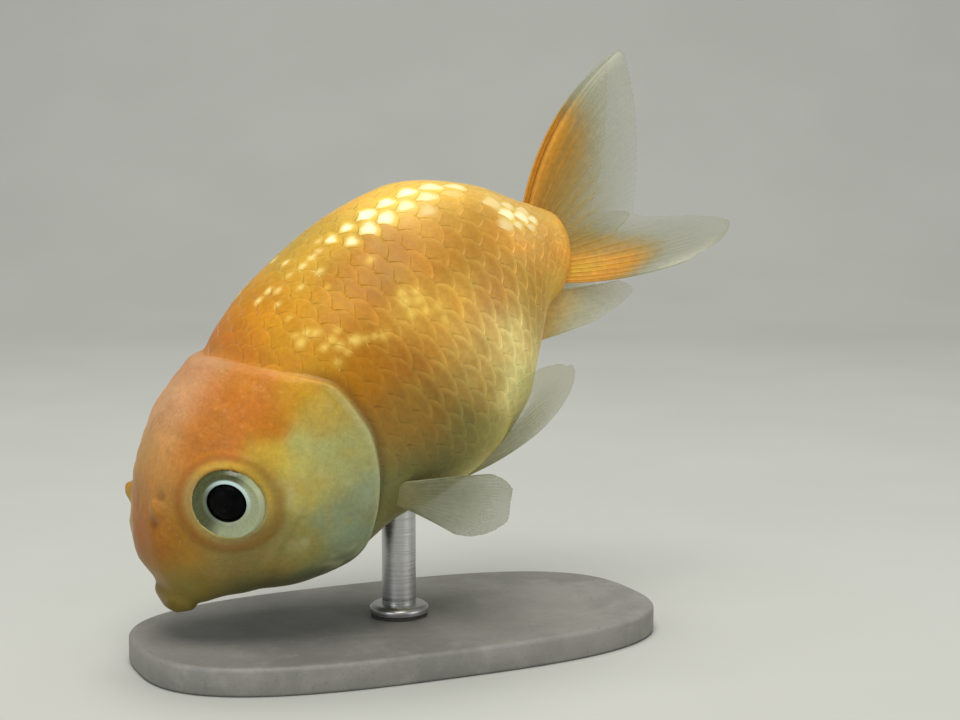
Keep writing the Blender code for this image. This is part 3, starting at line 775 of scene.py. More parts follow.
def build_fin(name):
    f = FINS[name]
    nu, nv = f['nu'], f['nv']
    u = np.linspace(0, 1, nu)
    v = np.linspace(0, 1, nv) ** 0.9
    U, Vv = u[:, None] + 0 * v[None], v[None] + 0 * u[:, None]
    ridge_tip = ray_ridge(u, np.ones_like(u), f['rays'])
    line = np.stack([u * 26, 0 * u, 0 * u], -1)
    ragged = 0.006 * noise(line, 1.0, f['seed']) + 0.012 * noise(line, 4.5, f['seed'] + 5)
    reach = f.get('reach', 0.985) * (0.982 + 0.010 * ridge_tip + ragged)
    P = fin_sheet(f['lines'], u, v, reach * corner(u, f['corner']))
    N = unit(np.cross(np.gradient(P, axis=0), np.gradient(P, axis=1)))
    ridge = ray_ridge(U, Vv, f['rays'])
    lead = bump(U, 0.5 / f['rays']) + f.get('trail', 0.0) * bump(1 - U, 0.5 / f['rays'])
    fade = 1 - step(Vv, 0.55, 1.0) * 0.65
    th = 0.10 + 0.26 * (1 - Vv) ** 2 + f.get('rib', 0.17) * ridge * fade + 0.10 * lead * (1 - 0.6 * Vv)
    th = th * (0.35 + 0.65 * step(1 - Vv, 0.0, 0.06))
    wave = f['wave'] * np.sin(U * f['folds'] * 2 * pi + 1.3 * Vv) * step(Vv, 0.1, 0.9)
    wave = wave + 0.05 * noise(P, 1.8, f['seed'] + 1) * step(Vv, 0.2, 0.8)
    P = P + N * wave[..., None]
    A, B = P + N * (th / 2)[..., None], P - N * (th / 2)[..., None]
    V = np.concatenate([A.reshape(-1, 3), B.reshape(-1, 3)])
    fa = grid_faces(nu, nv, 0)
    fb = grid_faces(nu, nv, nu * nv, flip=True)
    rim = [(i, 0) for i in range(nu)] + [(nu - 1, j) for j in range(1, nv)] + \
          [(i, nv - 1) for i in range(nu - 2, -1, -1)] + [(0, j) for j in range(nv - 2, 0, -1)]
    e = np.array([i * nv + j for i, j in rim])
    e2 = np.roll(e, -1)
    off = nu * nv
    fr = np.stack([e2, e, e + off, e2 + off], -1)
    col, solid = f['paint'](U, Vv, ridge, P)
    col = np.clip(col, 0.002, 0.95)
    return (V, np.concatenate([fa, fb, fr]), np.tile(col.reshape(-1, 3), (2, 1)), np.tile(np.clip(solid, 0, 1).ravel(), 2),
            np.tile(ridge.ravel(), 2), np.tile(Vv.ravel(), 2), np.tile(U.ravel(), 2), off)


def mix3(a, b, t):
    return a * (1 - t[..., None]) + b * t[..., None]


def over_body(P):
    """1 where a fin lies on the flesh, falling to 0 where it stands free of it"""
    ss, pp = np.meshgrid(np.linspace(18, 46, 64), np.radians(np.arange(0, 360, 5)), indexing='ij')
    Q = section(ss, pp, 0.0).reshape(-1, 3)
    F = P.reshape(-1, 3)
    near_by = np.sqrt(((F[:, None, :] - Q[None]) ** 2).sum(-1)).min(1).reshape(P.shape[:-1])
    return np.exp(-(near_by / 0.95) ** 2)


def paint_tail(U, V, ridge, P):
    one = np.ones_like(P)
    gold, deep, olive, clearc = srgb(212, 164, 64), srgb(202, 142, 50), srgb(194, 172, 96), srgb(164, 165, 118)
    upper = bump(U, 0.17 + 0.10 * (1 - V)) * (1 - step(V, 0.46, 0.80))
    lower = 1.15 * bump(U - 0.85, 0.19 + 0.10 * (1 - V)) * (1 - step(V, 0.40, 0.70))
    root = (1 - step(V, 0.06, 0.34)) * (0.35 + 0.65 * np.maximum(bump(U, 0.3), bump(U - 0.85, 0.28)))
    w = np.clip(np.maximum(np.maximum(upper, lower), root), 0, 1)
    streak = 0.5 + 0.5 * noise(np.stack([U * 46, V * 3, 0 * U], -1), 1.0, 21)
    w = np.clip(w * (0.74 + 0.50 * streak), 0, 1)
    mid = (1 - step(V, 0.30, 0.72)) * (1 - w)
    c = mix3(clearc * one, olive * one, np.clip(mid + 0.25 * ridge, 0, 1))
    c = mix3(c, gold * one, w)
    c = mix3(c, deep * one, np.clip(w * ridge * 0.45, 0, 1))
    # painted light: the lower lobe near its root and the leading edge are lightened where they lie in shade
    c = c * (1 + 0.36 * bump(U - 0.80, 0.24) * w * (1 + 1.4 * (1 - step(V, 0.16, 0.50))) + 0.40 * bump(U, 0.05) * w)[..., None]
    edge = np.maximum(bump(U, 0.10), bump(1 - U, 0.16)) * step(V, 0.55, 0.85)
    c = mix3(c, srgb(222, 224, 206) * one, np.clip(ridge * step(V, 0.35, 0.8) * 0.45 + 0.6 * edge, 0, 1))
    thin = 0.27 + 0.16 * mid - 0.08 * V
    solid = thin + (0.20 + 0.12 * mid) * ridge * (1 - 0.55 * step(V, 0.55, 1.0)) + 0.62 * w
    solid = solid + 0.26 * edge + 0.16 * bump(1 - V, 0.03) * step(U, 0.55, 0.8) + 0.25 * bump(U, 0.02) + 0.35 * bump(1 - U, 0.02)
    veil = step(V, 0.62, 1.0) * bump(U - 0.42, 0.30)
    return c, np.maximum(solid * (1 - 0.6 * veil), 1 - step(V, 0.03, 0.20))


def paint_pale(root_rgb, warm, edge_rgb=(196, 200, 182), veil=0.5, body=0.30, clear_on_body=0.0, fade=0.55):
    def paint(U, V, ridge, P):
        one = np.ones_like(P)
        w = 1 - step(V, 0.05, warm)
        c = mix3(srgb(*edge_rgb) * one, srgb(*root_rgb) * one, w)
        c = mix3(c, srgb(226, 228, 210) * one, ridge * 0.3 * step(V, 0.2, 0.7))
        solid = body - 0.04 * V + 0.22 * ridge * (1 - 0.6 * V) + 0.5 * w
        solid = solid + 0.30 * bump(U, 0.03) + 0.25 * bump(1 - U, 0.03)
        solid = solid * (1 - fade * step(V, 0.55, 1.0))
        solid = solid * (1 - veil * step(V, 0.5, 1.0) * bump(U - 0.5, 0.35))
        if clear_on_body:
            solid = solid * (1 - clear_on_body * over_body(P) * (1 - 0.85 * step(U, 0.30, 0.62)))
        return c, np.maximum(solid, 1 - step(V, 0.06, 0.18))
    return paint


def define_fins():
    for side, tag in ((1, 'left'), (-1, 'right')):
        FINS['tail_fin_' + tag] = dict(lines=tail_lines(side), rays=18, nu=145, nv=46, wave=0.10, folds=3.0,
                                       seed=31, paint=paint_tail, trail=0.8, corner=0.02)
        FINS['pectoral_fin_' + tag] = dict(lines=PECTORAL(side), rays=12, nu=73, nv=26, wave=0.08, folds=1.5,
                                           seed=41, corner=0.16,
                                           paint=paint_pale((194, 180, 122), 0.50, (166, 168, 136), 0.20, 0.68, fade=0.34), rib=0.05)
        FINS['pelvic_fin_' + tag] = dict(lines=PELVIC(side), rays=9, nu=64, nv=30, wave=0.08, folds=1.2,
                                         seed=51, corner=0.14,
                                         paint=paint_pale((196, 178, 92), 0.66, (172, 174, 122), 0.20, 0.64, 0.85), rib=0.05)
        FINS['anal_fin_' + tag] = dict(lines=ANAL(side), rays=8, nu=57, nv=24, wave=0.06, folds=1.0,
                                       seed=61, corner=0.12,
                                       paint=paint_pale((236, 212, 144), 0.60, (206, 206, 176), 0.15, 0.55), rib=0.08)


def build_skin():
    psi = psi_lines()
    S = skin_rows(psi)
    nr, nc = S.shape
    PS = psi[None, :] + 0 * S
    cover = coat_depth(S, PS)
    out = relief(S, PS) * (1 - 0.15 * cover) - HEAD_DEPTH - (COAT_DEPTH - HEAD_DEPTH) * cover
    V = section(S, PS, out).reshape(-1, 3)
    d = fin_fillet(V).reshape(nr, nc)
    fil = bump(d, 0.75) * step(S, 16, 17)
    V = section(S, PS, out + 0.13 * fil)
    col = body_tone(S, PS)
    hood = (step(gill_edge(PS) - S, 0.1, 1.2) * step(fold(PS), 84, 52) * step(S, 3.0, 6.0)
            * step(eye_distance(V), 3.6, 5.0))
    # mouth: the lips roll in to a small cleft, darkened inside with painted shade
    c0, t0, n0 = frame_at(0.0)
    first = V[0]
    inner, inner_col = [], []
    for fy, fz, depth, shaded in ((0.90, 0.84, -0.06, 0.95), (0.80, 0.60, 0.0, 0.7), (0.70, 0.34, 0.14, 0.4),
                                (0.60, 0.22, 0.45, 0.15), (0.45, 0.16, 0.9, 0.06), (0.2, 0.08, 1.3, 0.04)):
        q = first - c0
        z = q @ n0
        x = q @ t0
        inner.append(c0 + np.outer(q[:, 1] * fy, [0, 1, 0]) + np.outer(z * fz, n0) + np.outer(x + depth, t0))
        inner_col.append(col[0] * shaded)
    inner, inner_col = inner[::-1], inner_col[::-1]
    V = np.concatenate([np.array(inner), V])
    col = np.concatenate([np.array(inner_col), col])
    hood = np.concatenate([np.zeros((len(inner), nc)), hood])
    rows = np.concatenate([np.linspace(0.0, 0.28, len(inner))[:, None] + 0 * psi[None], S])
    nr = len(V)
    flat = V.reshape(-1, 3)
    tip = c0 + t0 * 1.32
    end = frame_at(BODY_LENGTH)[0]
    verts = [flat, tip[None], end[None]]
    quads = grid_faces(nr, nc, 0, wrap=True, flip=True)
    j = np.arange(nc)
    k = (j + 1) % nc
    t1 = np.stack([k, j, np.full(nc, nr * nc)], -1)[:, ::-1]
    last = (nr - 1) * nc
    t2 = np.stack([last + j, last + k, np.full(nc, nr * nc + 1)], -1)[:, ::-1]
    faces = quads.tolist() + t1[:, ::-1].tolist() + t2.tolist()
    # painted shade: the mouth's innermost point is near black
    colour = np.concatenate([col.reshape(-1, 3), col[0, :1] * 0.03, col[-1, :1]])
    hoodv = np.concatenate([hood.ravel(), [0, 0]])
    uu = 0.01 + 0.62 * rows / BODY_LENGTH
    vv = 0.01 + 0.98 * (psi / (2 * pi))[None, :] + 0 * rows
    uv = np.concatenate([np.stack([uu, vv], -1).reshape(-1, 2), [[0.005, 0.5], [0.64, 0.5]]])
    index = [0] * len(faces)
    solid = np.ones(len(colour))
    ray = np.zeros(len(colour))
    along = np.zeros(len(colour))
    n = len(colour)
    allV, allC, allS, allR, allA, allH, allUV = verts, [colour], [solid], [ray], [along], [hoodv], [uv]
    place = {'tail_fin_left': (0.66, 0.01, 0.32, 0.20), 'tail_fin_right': (0.66, 0.25, 0.32, 0.20),
             'pectoral_fin_left': (0.66, 0.49, 0.15, 0.10), 'pectoral_fin_right': (0.83, 0.49, 0.15, 0.10),
             'pelvic_fin_left': (0.66, 0.62, 0.15, 0.10), 'pelvic_fin_right': (0.83, 0.62, 0.15, 0.10),
             'anal_fin_left': (0.66, 0.75, 0.15, 0.10), 'anal_fin_right': (0.83, 0.75, 0.15, 0.10)}
    for nm in FINS:
        fv, ff, fc, fs, fr, fa, fu, off = build_fin(nm)
        x, y, w, h = place[nm]
        face_uv = np.zeros((len(fv), 2))
        face_uv[:off, 0] = x + fu[:off] * w
        face_uv[:off, 1] = y + fa[:off] * h * 0.49
        face_uv[off:, 0] = x + fu[off:] * w
        face_uv[off:, 1] = y + h - fa[off:] * h * 0.49
        faces += (ff + n).tolist()
        index += [1] * len(ff)
        n += len(fv)
        allV.append(fv)
        allC.append(fc)
        allS.append(fs)
        allR.append(fr)
        allA.append(fa)
        allH.append(np.zeros(len(fv)))
        allUV.append(face_uv)
    ob = make_mesh('fish_skin', np.concatenate(allV), faces, [skin_material(), fin_material()], index,
                   colours={'tone': np.concatenate(allC)},
                   floats={'solid': np.concatenate(allS), 'ray': np.concatenate(allR), 'along': np.concatenate(allA),
                           'hood': np.concatenate(allH)},
                   uv=np.concatenate(allUV))
    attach(ob, "root")
    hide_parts("head", "trunk", "tail_stalk", *FINS.keys())
    return ob


# ================================================================ the scales
ROWS_ROUND = 38                 # scale rows round the body
ROW_STEP = 2 * pi / ROWS_ROUND
SHOWN = 0.74                    # middle of a scale's uncovered part, as a share of its length
OVERLAP = 2.15                  # length of a scale over the spacing of its row


def pitch_at(s):
    return pchip([6, 16, 24, 29, 31.5, 34, 37, 42, 46, 50], [1.22, 1.34, 1.46, 1.42, 1.48, 1.66, 1.68, 1.34, 1.05, 0.9], s)


def scale_places():
    """middles of the uncovered parts along one row"""
    out, s = [36.2], 36.2
    while s < 49:
        s += float(pitch_at(s + 0.8))
        out.append(s)
    s = 36.2
    while s > 9:
        s -= float(pitch_at(s - 0.8))
        out.insert(0, s)
    return np.array(out)


# small painted gold glints on the shoulder and flank: place along, angle from the back, size mm, strength
SPARKS = ((26.4, 7, 0.30, 1.0), (27.8, 19, 0.34, 0.8), (26.8, 19, 0.34, 0.8), (25.6, 17, 0.30, 0.5), (23.7, 14, 0.32, 0.9),
          (24.1, 19, 0.34, 0.6), (22.7, 13, 0.32, 0.9), (29.2, 13, 0.36, 0.5), (22.1, 47, 0.42, 0.8), (23.3, 49, 0.36, 0.7),
          (23.9, 60, 0.40, 0.7), (25.1, 63, 0.46, 0.8), (26.9, 69, 0.40, 0.5), (30.0, 65, 0.46, 0.7), (30.9, 68, 0.44, 0.6),
          (29.8, 70, 0.40, 0.6), (30.4, 42, 0.40, 0.5), (24.6, 55, 0.34, 0.5), (22.9, 64, 0.36, 0.5),
          (22.2, 43, 0.30, 0.6), (22.9, 46, 0.36, 0.8), (23.5, 50, 0.26, 0.6), (23.0, 56, 0.30, 0.8), (23.8, 56, 0.36, 0.7),
          (24.0, 64, 0.30, 0.6), (24.9, 62, 0.34, 0.8), (25.7, 65, 0.30, 0.6), (26.4, 67, 0.32, 0.6), (27.3, 69, 0.28, 0.4),
          (30.3, 62, 0.40, 0.7), (31.2, 65, 0.34, 0.7), (30.8, 73, 0.36, 0.6), (31.8, 75, 0.40, 0.5), (31.5, 80, 0.34, 0.5),
          (23.2, 25, 0.26, 0.6), (25.3, 28, 0.30, 0.5), (27.2, 29, 0.34, 0.6), (22.9, 35, 0.22, 0.5), (26.6, 38, 0.26, 0.4))


def sparks(s, psi):
    out = np.zeros(np.shape(s))
    for s0, p0, size, k in SPARKS:
        out = np.maximum(out, k * np.exp(-(near(s, psi, s0, p0) / size) ** 2))
    return out


def glint_of(s, psi, r1, r2):
    """how strongly a scale's painted highlight shows: bright along the rows beside the back and on the tail's root"""
    a = fold(psi)
    first = bump(a - 18.9, 5) * step(s, 28.2, 29.0) * (1 - 0.45 * step(s, 36.6, 38.5)) * (1 - step(s, 39.5, 41))
    second = bump(a - 28.4, 5) * step(s, 29.4, 30.6) * (1 - 0.2 * step(s, 33.5, 36)) * (1 - step(s, 37.5, 39.5)) * 0.72
    third = bump(a - 38, 6) * step(s, 31.0, 32.5) * (1 - step(s, 35.0, 39.0)) * 0.26 * r1
    stalk = 0.84 * bump(a - 48, 12) * step(s, 40.4, 41.4) * (1 - step(s, 43.8, 45.0))
    few = bump(a - 80, 30) * step(s, 27, 29) * (1 - step(s, 34, 36)) * np.where(r2 > 0.94, 0.25, 0.0)
    return np.clip(np.maximum.reduce([first, second, third, stalk, few]) * (0.88 + 0.2 * r1), 0, 1)


def glint_size(s, psi):
    a = fold(psi)
    big = step(s, 28.0, 33.5) * bump(a - 20, 22)
    return 0.48 - 0.12 * step(a, 36, 46) + 0.52 * big + 0.85 * bump(a - 48, 22) * step(s, 39, 41)


def build_scales():
    na, nb = 15, 13
    A = np.linspace(-1, 1, na)
    B = np.linspace(0, 1, nb)
    AA, BB = np.meshgrid(A, B, indexing='ij')
    # outline: narrow hidden root, widest at the middle, round free edge
    half = np.where(BB < 0.5, 0.62 + 0.38 * np.sin(pi * np.clip(BB, 0, 0.5)),
                    np.sqrt(np.clip(1 - ((BB - 0.5) / 0.5) ** 2, 0, 1)))
    # rows of a round plate: lines along the scale bend in to the free edge
    places = scale_places()
    items = []
    rng = np.random.default_rng(7)
    for j in range(ROWS_ROUND):
        psi0 = j * ROW_STEP
        for i in range(len(places)):
            mid = places[i] + (j % 2) * 0.5 * (places[min(i + 1, len(places) - 1)] - places[i])
            ln = OVERLAP * float(pitch_at(mid))
            s0 = mid - SHOWN * ln
            if s0 + ln * 0.84 < gill_edge(psi0) or s0 + ln > 48.4 or s0 < 6:
                continue
            items.append((s0, psi0, ln))
    items = np.array(items)
    n = len(items)
    r1, r2, r3, r4 = (rng.random(n) for _ in range(4))
    s0 = items[:, 0] + (r3 - 0.5) * 0.10
    p0 = items[:, 1] + (r4 - 0.5) * 0.010
    ln = items[:, 2] * (0.97 + 0.06 * r2)
    mid = s0 + SHOWN * ln
    wide = ROW_STEP * (1.03 + 0.04 * r1)
    # points in the plate's own square: b along, a across
    bb = BB[None] + 0 * s0[:, None, None]
    S = s0[:, None, None] + ln[:, None, None] * bb
    PS = p0[:, None, None] + (wide[:, None, None] * half[None] * AA[None]) + (r2[:, None, None] - 0.5) * 0.02 * (bb - 0.5)
    a0 = fold(p0)
    # scales lie deep in the skin on the back and shoulder and stand out more on the flank
    proud = 0.040 + 0.026 * bump(a0 - 95, 40) * step(mid, 22, 27) * (1 - step(mid, 39, 44))
    lift = 0.02 + proud[:, None, None] * bb ** 1.05 * (1 - 0.10 * np.abs(AA[None]) ** 2)
    Scl = np.clip(S, 0.3, BODY_LENGTH - 0.02)
    base = relief(Scl, PS)
    e = gill_edge(PS) - Scl
    base = np.where(e > 0, base - 0.34, base)           # the part under the gill flap stays hidden
    top_out = base * 0.85 - COAT_DEPTH + lift
    edge = np.maximum(np.abs(AA[None]) ** 6, step(BB, 0.90, 1.0)[None]) + 0 * bb
    th = (0.15 * proud[:, None, None]) * (1 - 0.5 * edge) + 0.003
    T = section(Scl, PS, top_out)
    U = section(Scl, PS, top_out - th)
    colour = body_tone(Scl, PS)
    m = (1 + 0.10 * (r4 - 0.5))[:, None, None, None]
    colour = np.clip(colour * m, 0, 0.95)
    # a painted highlight in the middle of the uncovered part, where the scale mirrors the light, with a painted golden
    # halo
    g = glint_of(mid, p0, r1, r2)
    size = glint_size(mid, p0) * (0.78 + 0.36 * r3)
    q = np.hypot((BB[None] - 0.745 - 0.03 * (r2[:, None, None] - 0.5)) / 0.20,
                 (AA * half)[None] / (0.46 + 0.16 * (BB[None] - 0.74) / 0.2)) / size[:, None, None]
    around = np.arctan2((AA * half)[None] / 0.46, (BB[None] - 0.745) / 0.20)
    q = q * (1 + 0.13 * np.sin(3 * around + 6.3 * r4[:, None, None]) + 0.06 * np.sin(5 * around + 9 * r1[:, None, None]))
    # the painted glints on the flank are gold, not white
    white = 1 - 0.80 * step(a0, 40, 50) * (1 - step(mid, 38, 40))        # flank sparks are gold, not white
    glint = np.clip((g * white)[:, None, None] * 1.15 * np.exp(-(q / 0.86) ** 5), 0, 1)
    halo = np.clip(g[:, None, None] * 0.85 * np.exp(-(q / 1.45) ** 3), 0, 1)
    # painted gold glints and their halos laid over the scales
    spot = sparks(Scl, PS)
    gold = step(fold(PS), 30, 40)
    glint = np.maximum(glint, (0.62 - 0.46 * gold) * spot ** 1.5)
    halo = np.maximum(halo, (0.75 - 0.12 * gold) * np.clip(spot * 1.4, 0, 1))
    # pale free edge, partly its own colour and partly a painted highlight where it catches the light, and painted shade
    # in the hollow before it, strongest on the flank
    marks = 0.16 + 0.54 * bump(a0 - 92, 36) * step(mid, 23, 28) * (1 - 0.6 * step(mid, 38, 44)) * (0.6 + 0.8 * r2)
    radius = np.hypot((BB - 0.5) / 0.5, AA * half)
    rimv = marks[:, None, None] * step(radius, 0.70, 0.98)[None] + 0 * bb
    hollow_shade = marks[:, None, None] * (bump(radius - 0.60, 0.18) * step(BB, 0.55, 0.7))[None] * 0.75 + 0 * bb
    rho = np.sqrt((AA * half) ** 2 + ((BB - 0.35) / 0.65) ** 2)
    ring = rho[None] + 0 * bb
    fan = (np.arctan2(AA * half, BB + 0.12))[None] + 0 * bb
    per = na * nb
    fa = grid_faces(na, nb, 0, flip=False)
    rim = [(i, 0) for i in range(na)] + [(na - 1, j) for j in range(1, nb)] + \
          [(i, nb - 1) for i in range(na - 2, -1, -1)] + [(0, j) for j in range(nb - 2, 0, -1)]
    e1 = np.array([i * nb + j for i, j in rim])
    e2 = np.roll(e1, -1)
    one = np.concatenate([fa, grid_faces(na, nb, per, flip=True), np.stack([e2, e1, e1 + per, e2 + per], -1)])
    tris = len(one) * 2
    pieces = int(np.ceil(n * tris / 170000))
    order = np.argsort(s0, kind='stable')
    mat = scale_material()
    made = []
    uv_s = 0.02 + 0.94 * (s0 - 6) / (BODY_LENGTH - 6)
    uv_p = 0.02 + 0.94 * ((p0 / (2 * pi)) % 1.0)
    uva = uv_s[:, None, None] + (BB[None] - 0.5) * 0.003
    uvb = uv_p[:, None, None] + AA[None] * half[None] * 0.0015
    for part, ids in enumerate(np.array_split(order, pieces)):
        m = len(ids)
        Vp = np.concatenate([T[ids].reshape(m, per, 3), U[ids].reshape(m, per, 3)], 1).reshape(-1, 3)
        F = (one[None] + (np.arange(m) * 2 * per)[:, None, None]).reshape(-1, 4)

        def twice(x):
            x = x[ids].reshape(m, per, -1)
            return np.concatenate([x, x], 1).reshape(m * 2 * per, -1)
        ob = make_mesh('scales_%d' % (part + 1), Vp, F.tolist(), [mat],
                       colours={'tone': twice(colour)},
                       floats={'glint': twice(glint)[:, 0], 'halo': twice(halo)[:, 0], 'rim': twice(rimv)[:, 0],
                               'hollow_shade': twice(hollow_shade)[:, 0], 'ring': twice(ring)[:, 0], 'fan': twice(fan)[:, 0]},
                       uv=np.concatenate([twice(uva), twice(uvb)], -1))
        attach(ob, "root")
        made.append(ob)
    print('scales', n, 'pieces', pieces, 'triangles', n * tris)
    return made


# ================================================================ the eyes
def lathe(profile, seg):
    """points of a surface turned about +Z from (radius, height) pairs, first and last on the axis"""
    a = np.linspace(0, 2 * pi, seg + 1)[:-1]
    V = [np.array([[0, 0, profile[0][1]]])]
    for r, h in profile[1:-1]:
        V.append(np.stack([r * np.cos(a), r * np.sin(a), 0 * a + h], -1))
    V.append(np.array([[0, 0, profile[-1][1]]]))
    V = np.concatenate(V)
    m = len(profile) - 2
    j = np.arange(seg)
    k = (j + 1) % seg
    faces = np.stack([np.zeros(seg, int), 1 + j, 1 + k], -1).tolist()
    faces += grid_faces(m, seg, 1, wrap=True, flip=False).tolist()
    last = 1 + (m - 1) * seg
    faces += np.stack([last + k, last + j, np.full(seg, 1 + m * seg)], -1).tolist()
    return V, faces


def iris_material():
    k = Nodes('eye_iris')
    r = k.attr('radius')
    up = k.attr('high')
    th = k.attr('turn')
    # fine spokes
    comb = k.add('ShaderNodeCombineXYZ')
    k.link(k.math('MULTIPLY', th, 9.0), comb.inputs[0])
    k.link(k.math('MULTIPLY', r, 0.9), comb.inputs[1])
    sp = k.add('ShaderNodeTexNoise')
    sp.inputs['Scale'].default_value = 2.0
    sp.inputs['Detail'].default_value = 4.0
    k.link(comb.outputs[0], sp.inputs['Vector'])
    # painted shade: the iris darkens towards its upper side
    low = k.mix(k.span(sp.outputs['Fac'], 0.3, 0.7), (0.35, 0.37, 0.24), (0.43, 0.45, 0.31))
    high = k.mix(k.span(sp.outputs['Fac'], 0.3, 0.7), (0.048, 0.052, 0.014), (0.095, 0.098, 0.030))
    col = k.mix(k.span(up, -0.12, 0.34), low, high)
    # bright ring at the pupil, made strongest above by a painted highlight; soft pale band at the iris's outer margin,
    # a painted highlight on its lower side
    inner = k.math('MULTIPLY', k.span(r, 1.58, 1.66, 0.0, 1.0), k.span(r, 1.84, 2.06, 1.0, 0.0))
    col = k.mix(k.math('MULTIPLY', inner, k.span(k.attr('lit'), -0.75, 0.45, 0.10, 1.0)), col, (0.68, 0.82, 0.92))
    outer = k.math('MULTIPLY', k.span(r, 2.50, 2.80, 0.0, 1.0), k.span(up, 0.3, -0.4, 0.0, 0.7))
    col = k.mix(outer, col, (0.50, 0.50, 0.34))
    sclera = k.math('MULTIPLY', k.span(r, 2.94, 3.10, 0.0, 1.0), k.span(up, 0.4, -0.2, 0.2, 1.0))
    col = k.mix(sclera, col, (0.38, 0.36, 0.20))
    pupil = k.span(r, 1.60, 1.63, 1.0, 0.0)
    col = k.mix(pupil, col, (0.002, 0.002, 0.002))
    k.link(col, k.b.inputs['Base Color'])
    k.b.inputs['Roughness'].default_value = 0.35
    k.b.inputs['Metallic'].default_value = 0.0
    k.b.inputs['Coat Weight'].default_value = 0.2
    k.b.inputs['Coat Roughness'].default_value = 0.08
    k.link(k.bump(sp.outputs['Fac'], 0.12, 0.05), k.b.inputs['Normal'])
    return k.m


def lens_material():
    k = Nodes('eye_lens')
    n = k.noise(1.2, 2.0)
    col = k.mix(k.span(n, 0.3, 0.7), (0.0010, 0.0011, 0.0012), (0.0022, 0.0024, 0.0028))
    k.link(col, k.b.inputs['Base Color'])
    k.link(k.span(n, 0.3, 0.7, 0.30, 0.36), k.b.inputs['Roughness'])
    k.b.inputs['Specular IOR Level'].default_value = 0.03
    return k.m


def cornea_material():
    k = Nodes('eye_cornea')
    t = k.add('ShaderNodeBsdfTransparent')
    g = k.add('ShaderNodeBsdfGlossy')
    g.inputs['Roughness'].default_value = 0.06
    fr = k.add('ShaderNodeFresnel')
    fr.inputs['IOR'].default_value = 1.07
    n = k.noise(1.5, 1.0)
    k.link(k.mix(k.span(n, 0.3, 0.7), (0.93, 0.96, 0.90), (0.97, 0.99, 0.95)), t.inputs['Color'])
    mx = k.add('ShaderNodeMixShader')
    # a wet gloss that stays faint at the dome's edge, where it would otherwise turn into a dark rim
    k.link(k.math('MINIMUM', fr.outputs[0], 0.06), mx.inputs[0])
    k.link(t.outputs[0], mx.inputs[1])
    k.link(g.outputs[0], mx.inputs[2])
    k.link(mx.outputs[0], k.out.inputs['Surface'])
    return k.m


LOOK_FORWARD, LOOK_DOWN = 0.08, 0.0      # how the pupil turns from the socket's axis
PUPIL_SHIFT = np.array([0.03, 0.03, 0.30])    # the pupil sits forward of the iris's middle, mm


def build_eyes():
    iris, lens, cornea = iris_material(), lens_material(), cornea_material()
    R = EYE_R - 0.08
    # the ball: from its back, round to the limbus, then in over the iris to the pupil's margin
    th = np.linspace(pi, np.arcsin(2.74 / R), 32)
    prof = [(R * sin(t), R * cos(t)) for t in th]
    prof[0] = (0.0, -R)
    hl = prof[-1][1]
    prof += [(2.71, hl + 0.02), (2.65, hl + 0.01), (2.56, hl - 0.01), (2.45, hl - 0.02), (2.33, hl - 0.03), (2.22, hl - 0.03),
             (2.12, hl - 0.03), (2.03, hl - 0.02), (1.94, hl + 0.00), (1.84, hl + 0.02), (1.75, hl + 0.05), (1.68, hl + 0.06),
             (1.63, hl + 0.02), (1.60, hl - 0.08), (1.57, hl - 0.4), (0.0, hl - 0.45)]
    V0, F0 = lathe(prof, 96)
    rad = np.hypot(V0[:, 0], V0[:, 1])
    rad = np.where(V0[:, 2] < 0, 5.0, rad)
    lr, lc = 1.62, hl - 0.50
    lp = [(0.0, lc - lr)] + [(lr * sin(t), lc - lr * cos(t)) for t in np.linspace(0.12, pi - 0.05, 26)] + [(0.0, lc + lr)]
    V1, F1 = lathe(lp, 64)
    V1[:, 2] = lc + (V1[:, 2] - lc) * 0.62              # a flattened lens
    # cornea: a clear shell from the limbus over the lens
    Ro = EYE_R - 0.01
    cp = [(Ro * sin(t), Ro * cos(t)) for t in np.linspace(0, 0.94, 26)] + [(0.0, 0.0)]
    cp[0] = (0.0, Ro)
    V2, F2 = lathe(cp, 72)
    last = len(V2) - 1
    F2 = [f[::-1] for f in F2 if last not in f]         # a dome: the ball closes it behind
    V2 = V2[:-1]
    for side, tag in ((1, 'left'), (-1, 'right')):
        C, _ = node_centre('eye_' + tag)
        m = np.array([1, side, 1.])
        n = EYE_N * m
        c0, t, up = frame_at(EYE_S)
        z = unit(n - t * LOOK_FORWARD - up * LOOK_DOWN)
        y = unit(up - z * (up @ z))
        x = np.cross(y, z)
        M = np.stack([x, y, z], 0)
        shift = M @ (PUPIL_SHIFT * m)
        shift[2] = 0
        W = V0.copy()
        W += np.where(V0[:, 2] > 0, 1 - step(rad, 1.95, 2.70), 0)[:, None] * shift
        L = V1 + shift
        # painted shade darkens the iris above and in front, and a painted highlight lights the ring from above and
        # behind
        fore = W @ (M @ (-t))
        high = W[:, 1] / 3.0 * 0.95 + fore / 3.0 * 0.30
        lit = ((W - shift) @ (M @ np.array([0.45, 0, 0.89]))) / 1.8
        turn = np.arctan2(V0[:, 1], V0[:, 0])
        a = make_mesh('eyeball_' + tag, C + W @ M, F0, [iris],
                      floats={'radius': rad, 'high': high, 'turn': turn, 'lit': lit})
        b = make_mesh('eye_lens_' + tag, C + L @ M, F1, [lens])
        ux = unit(np.cross(up, n))
        Mn = np.stack([ux, unit(np.cross(n, ux)), n], 0)
        c = make_mesh('eye_cornea_' + tag, C + V2 @ Mn, F2, [cornea])
        for o in (a, b, c):
            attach(o, "root")
        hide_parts('eye_' + tag)


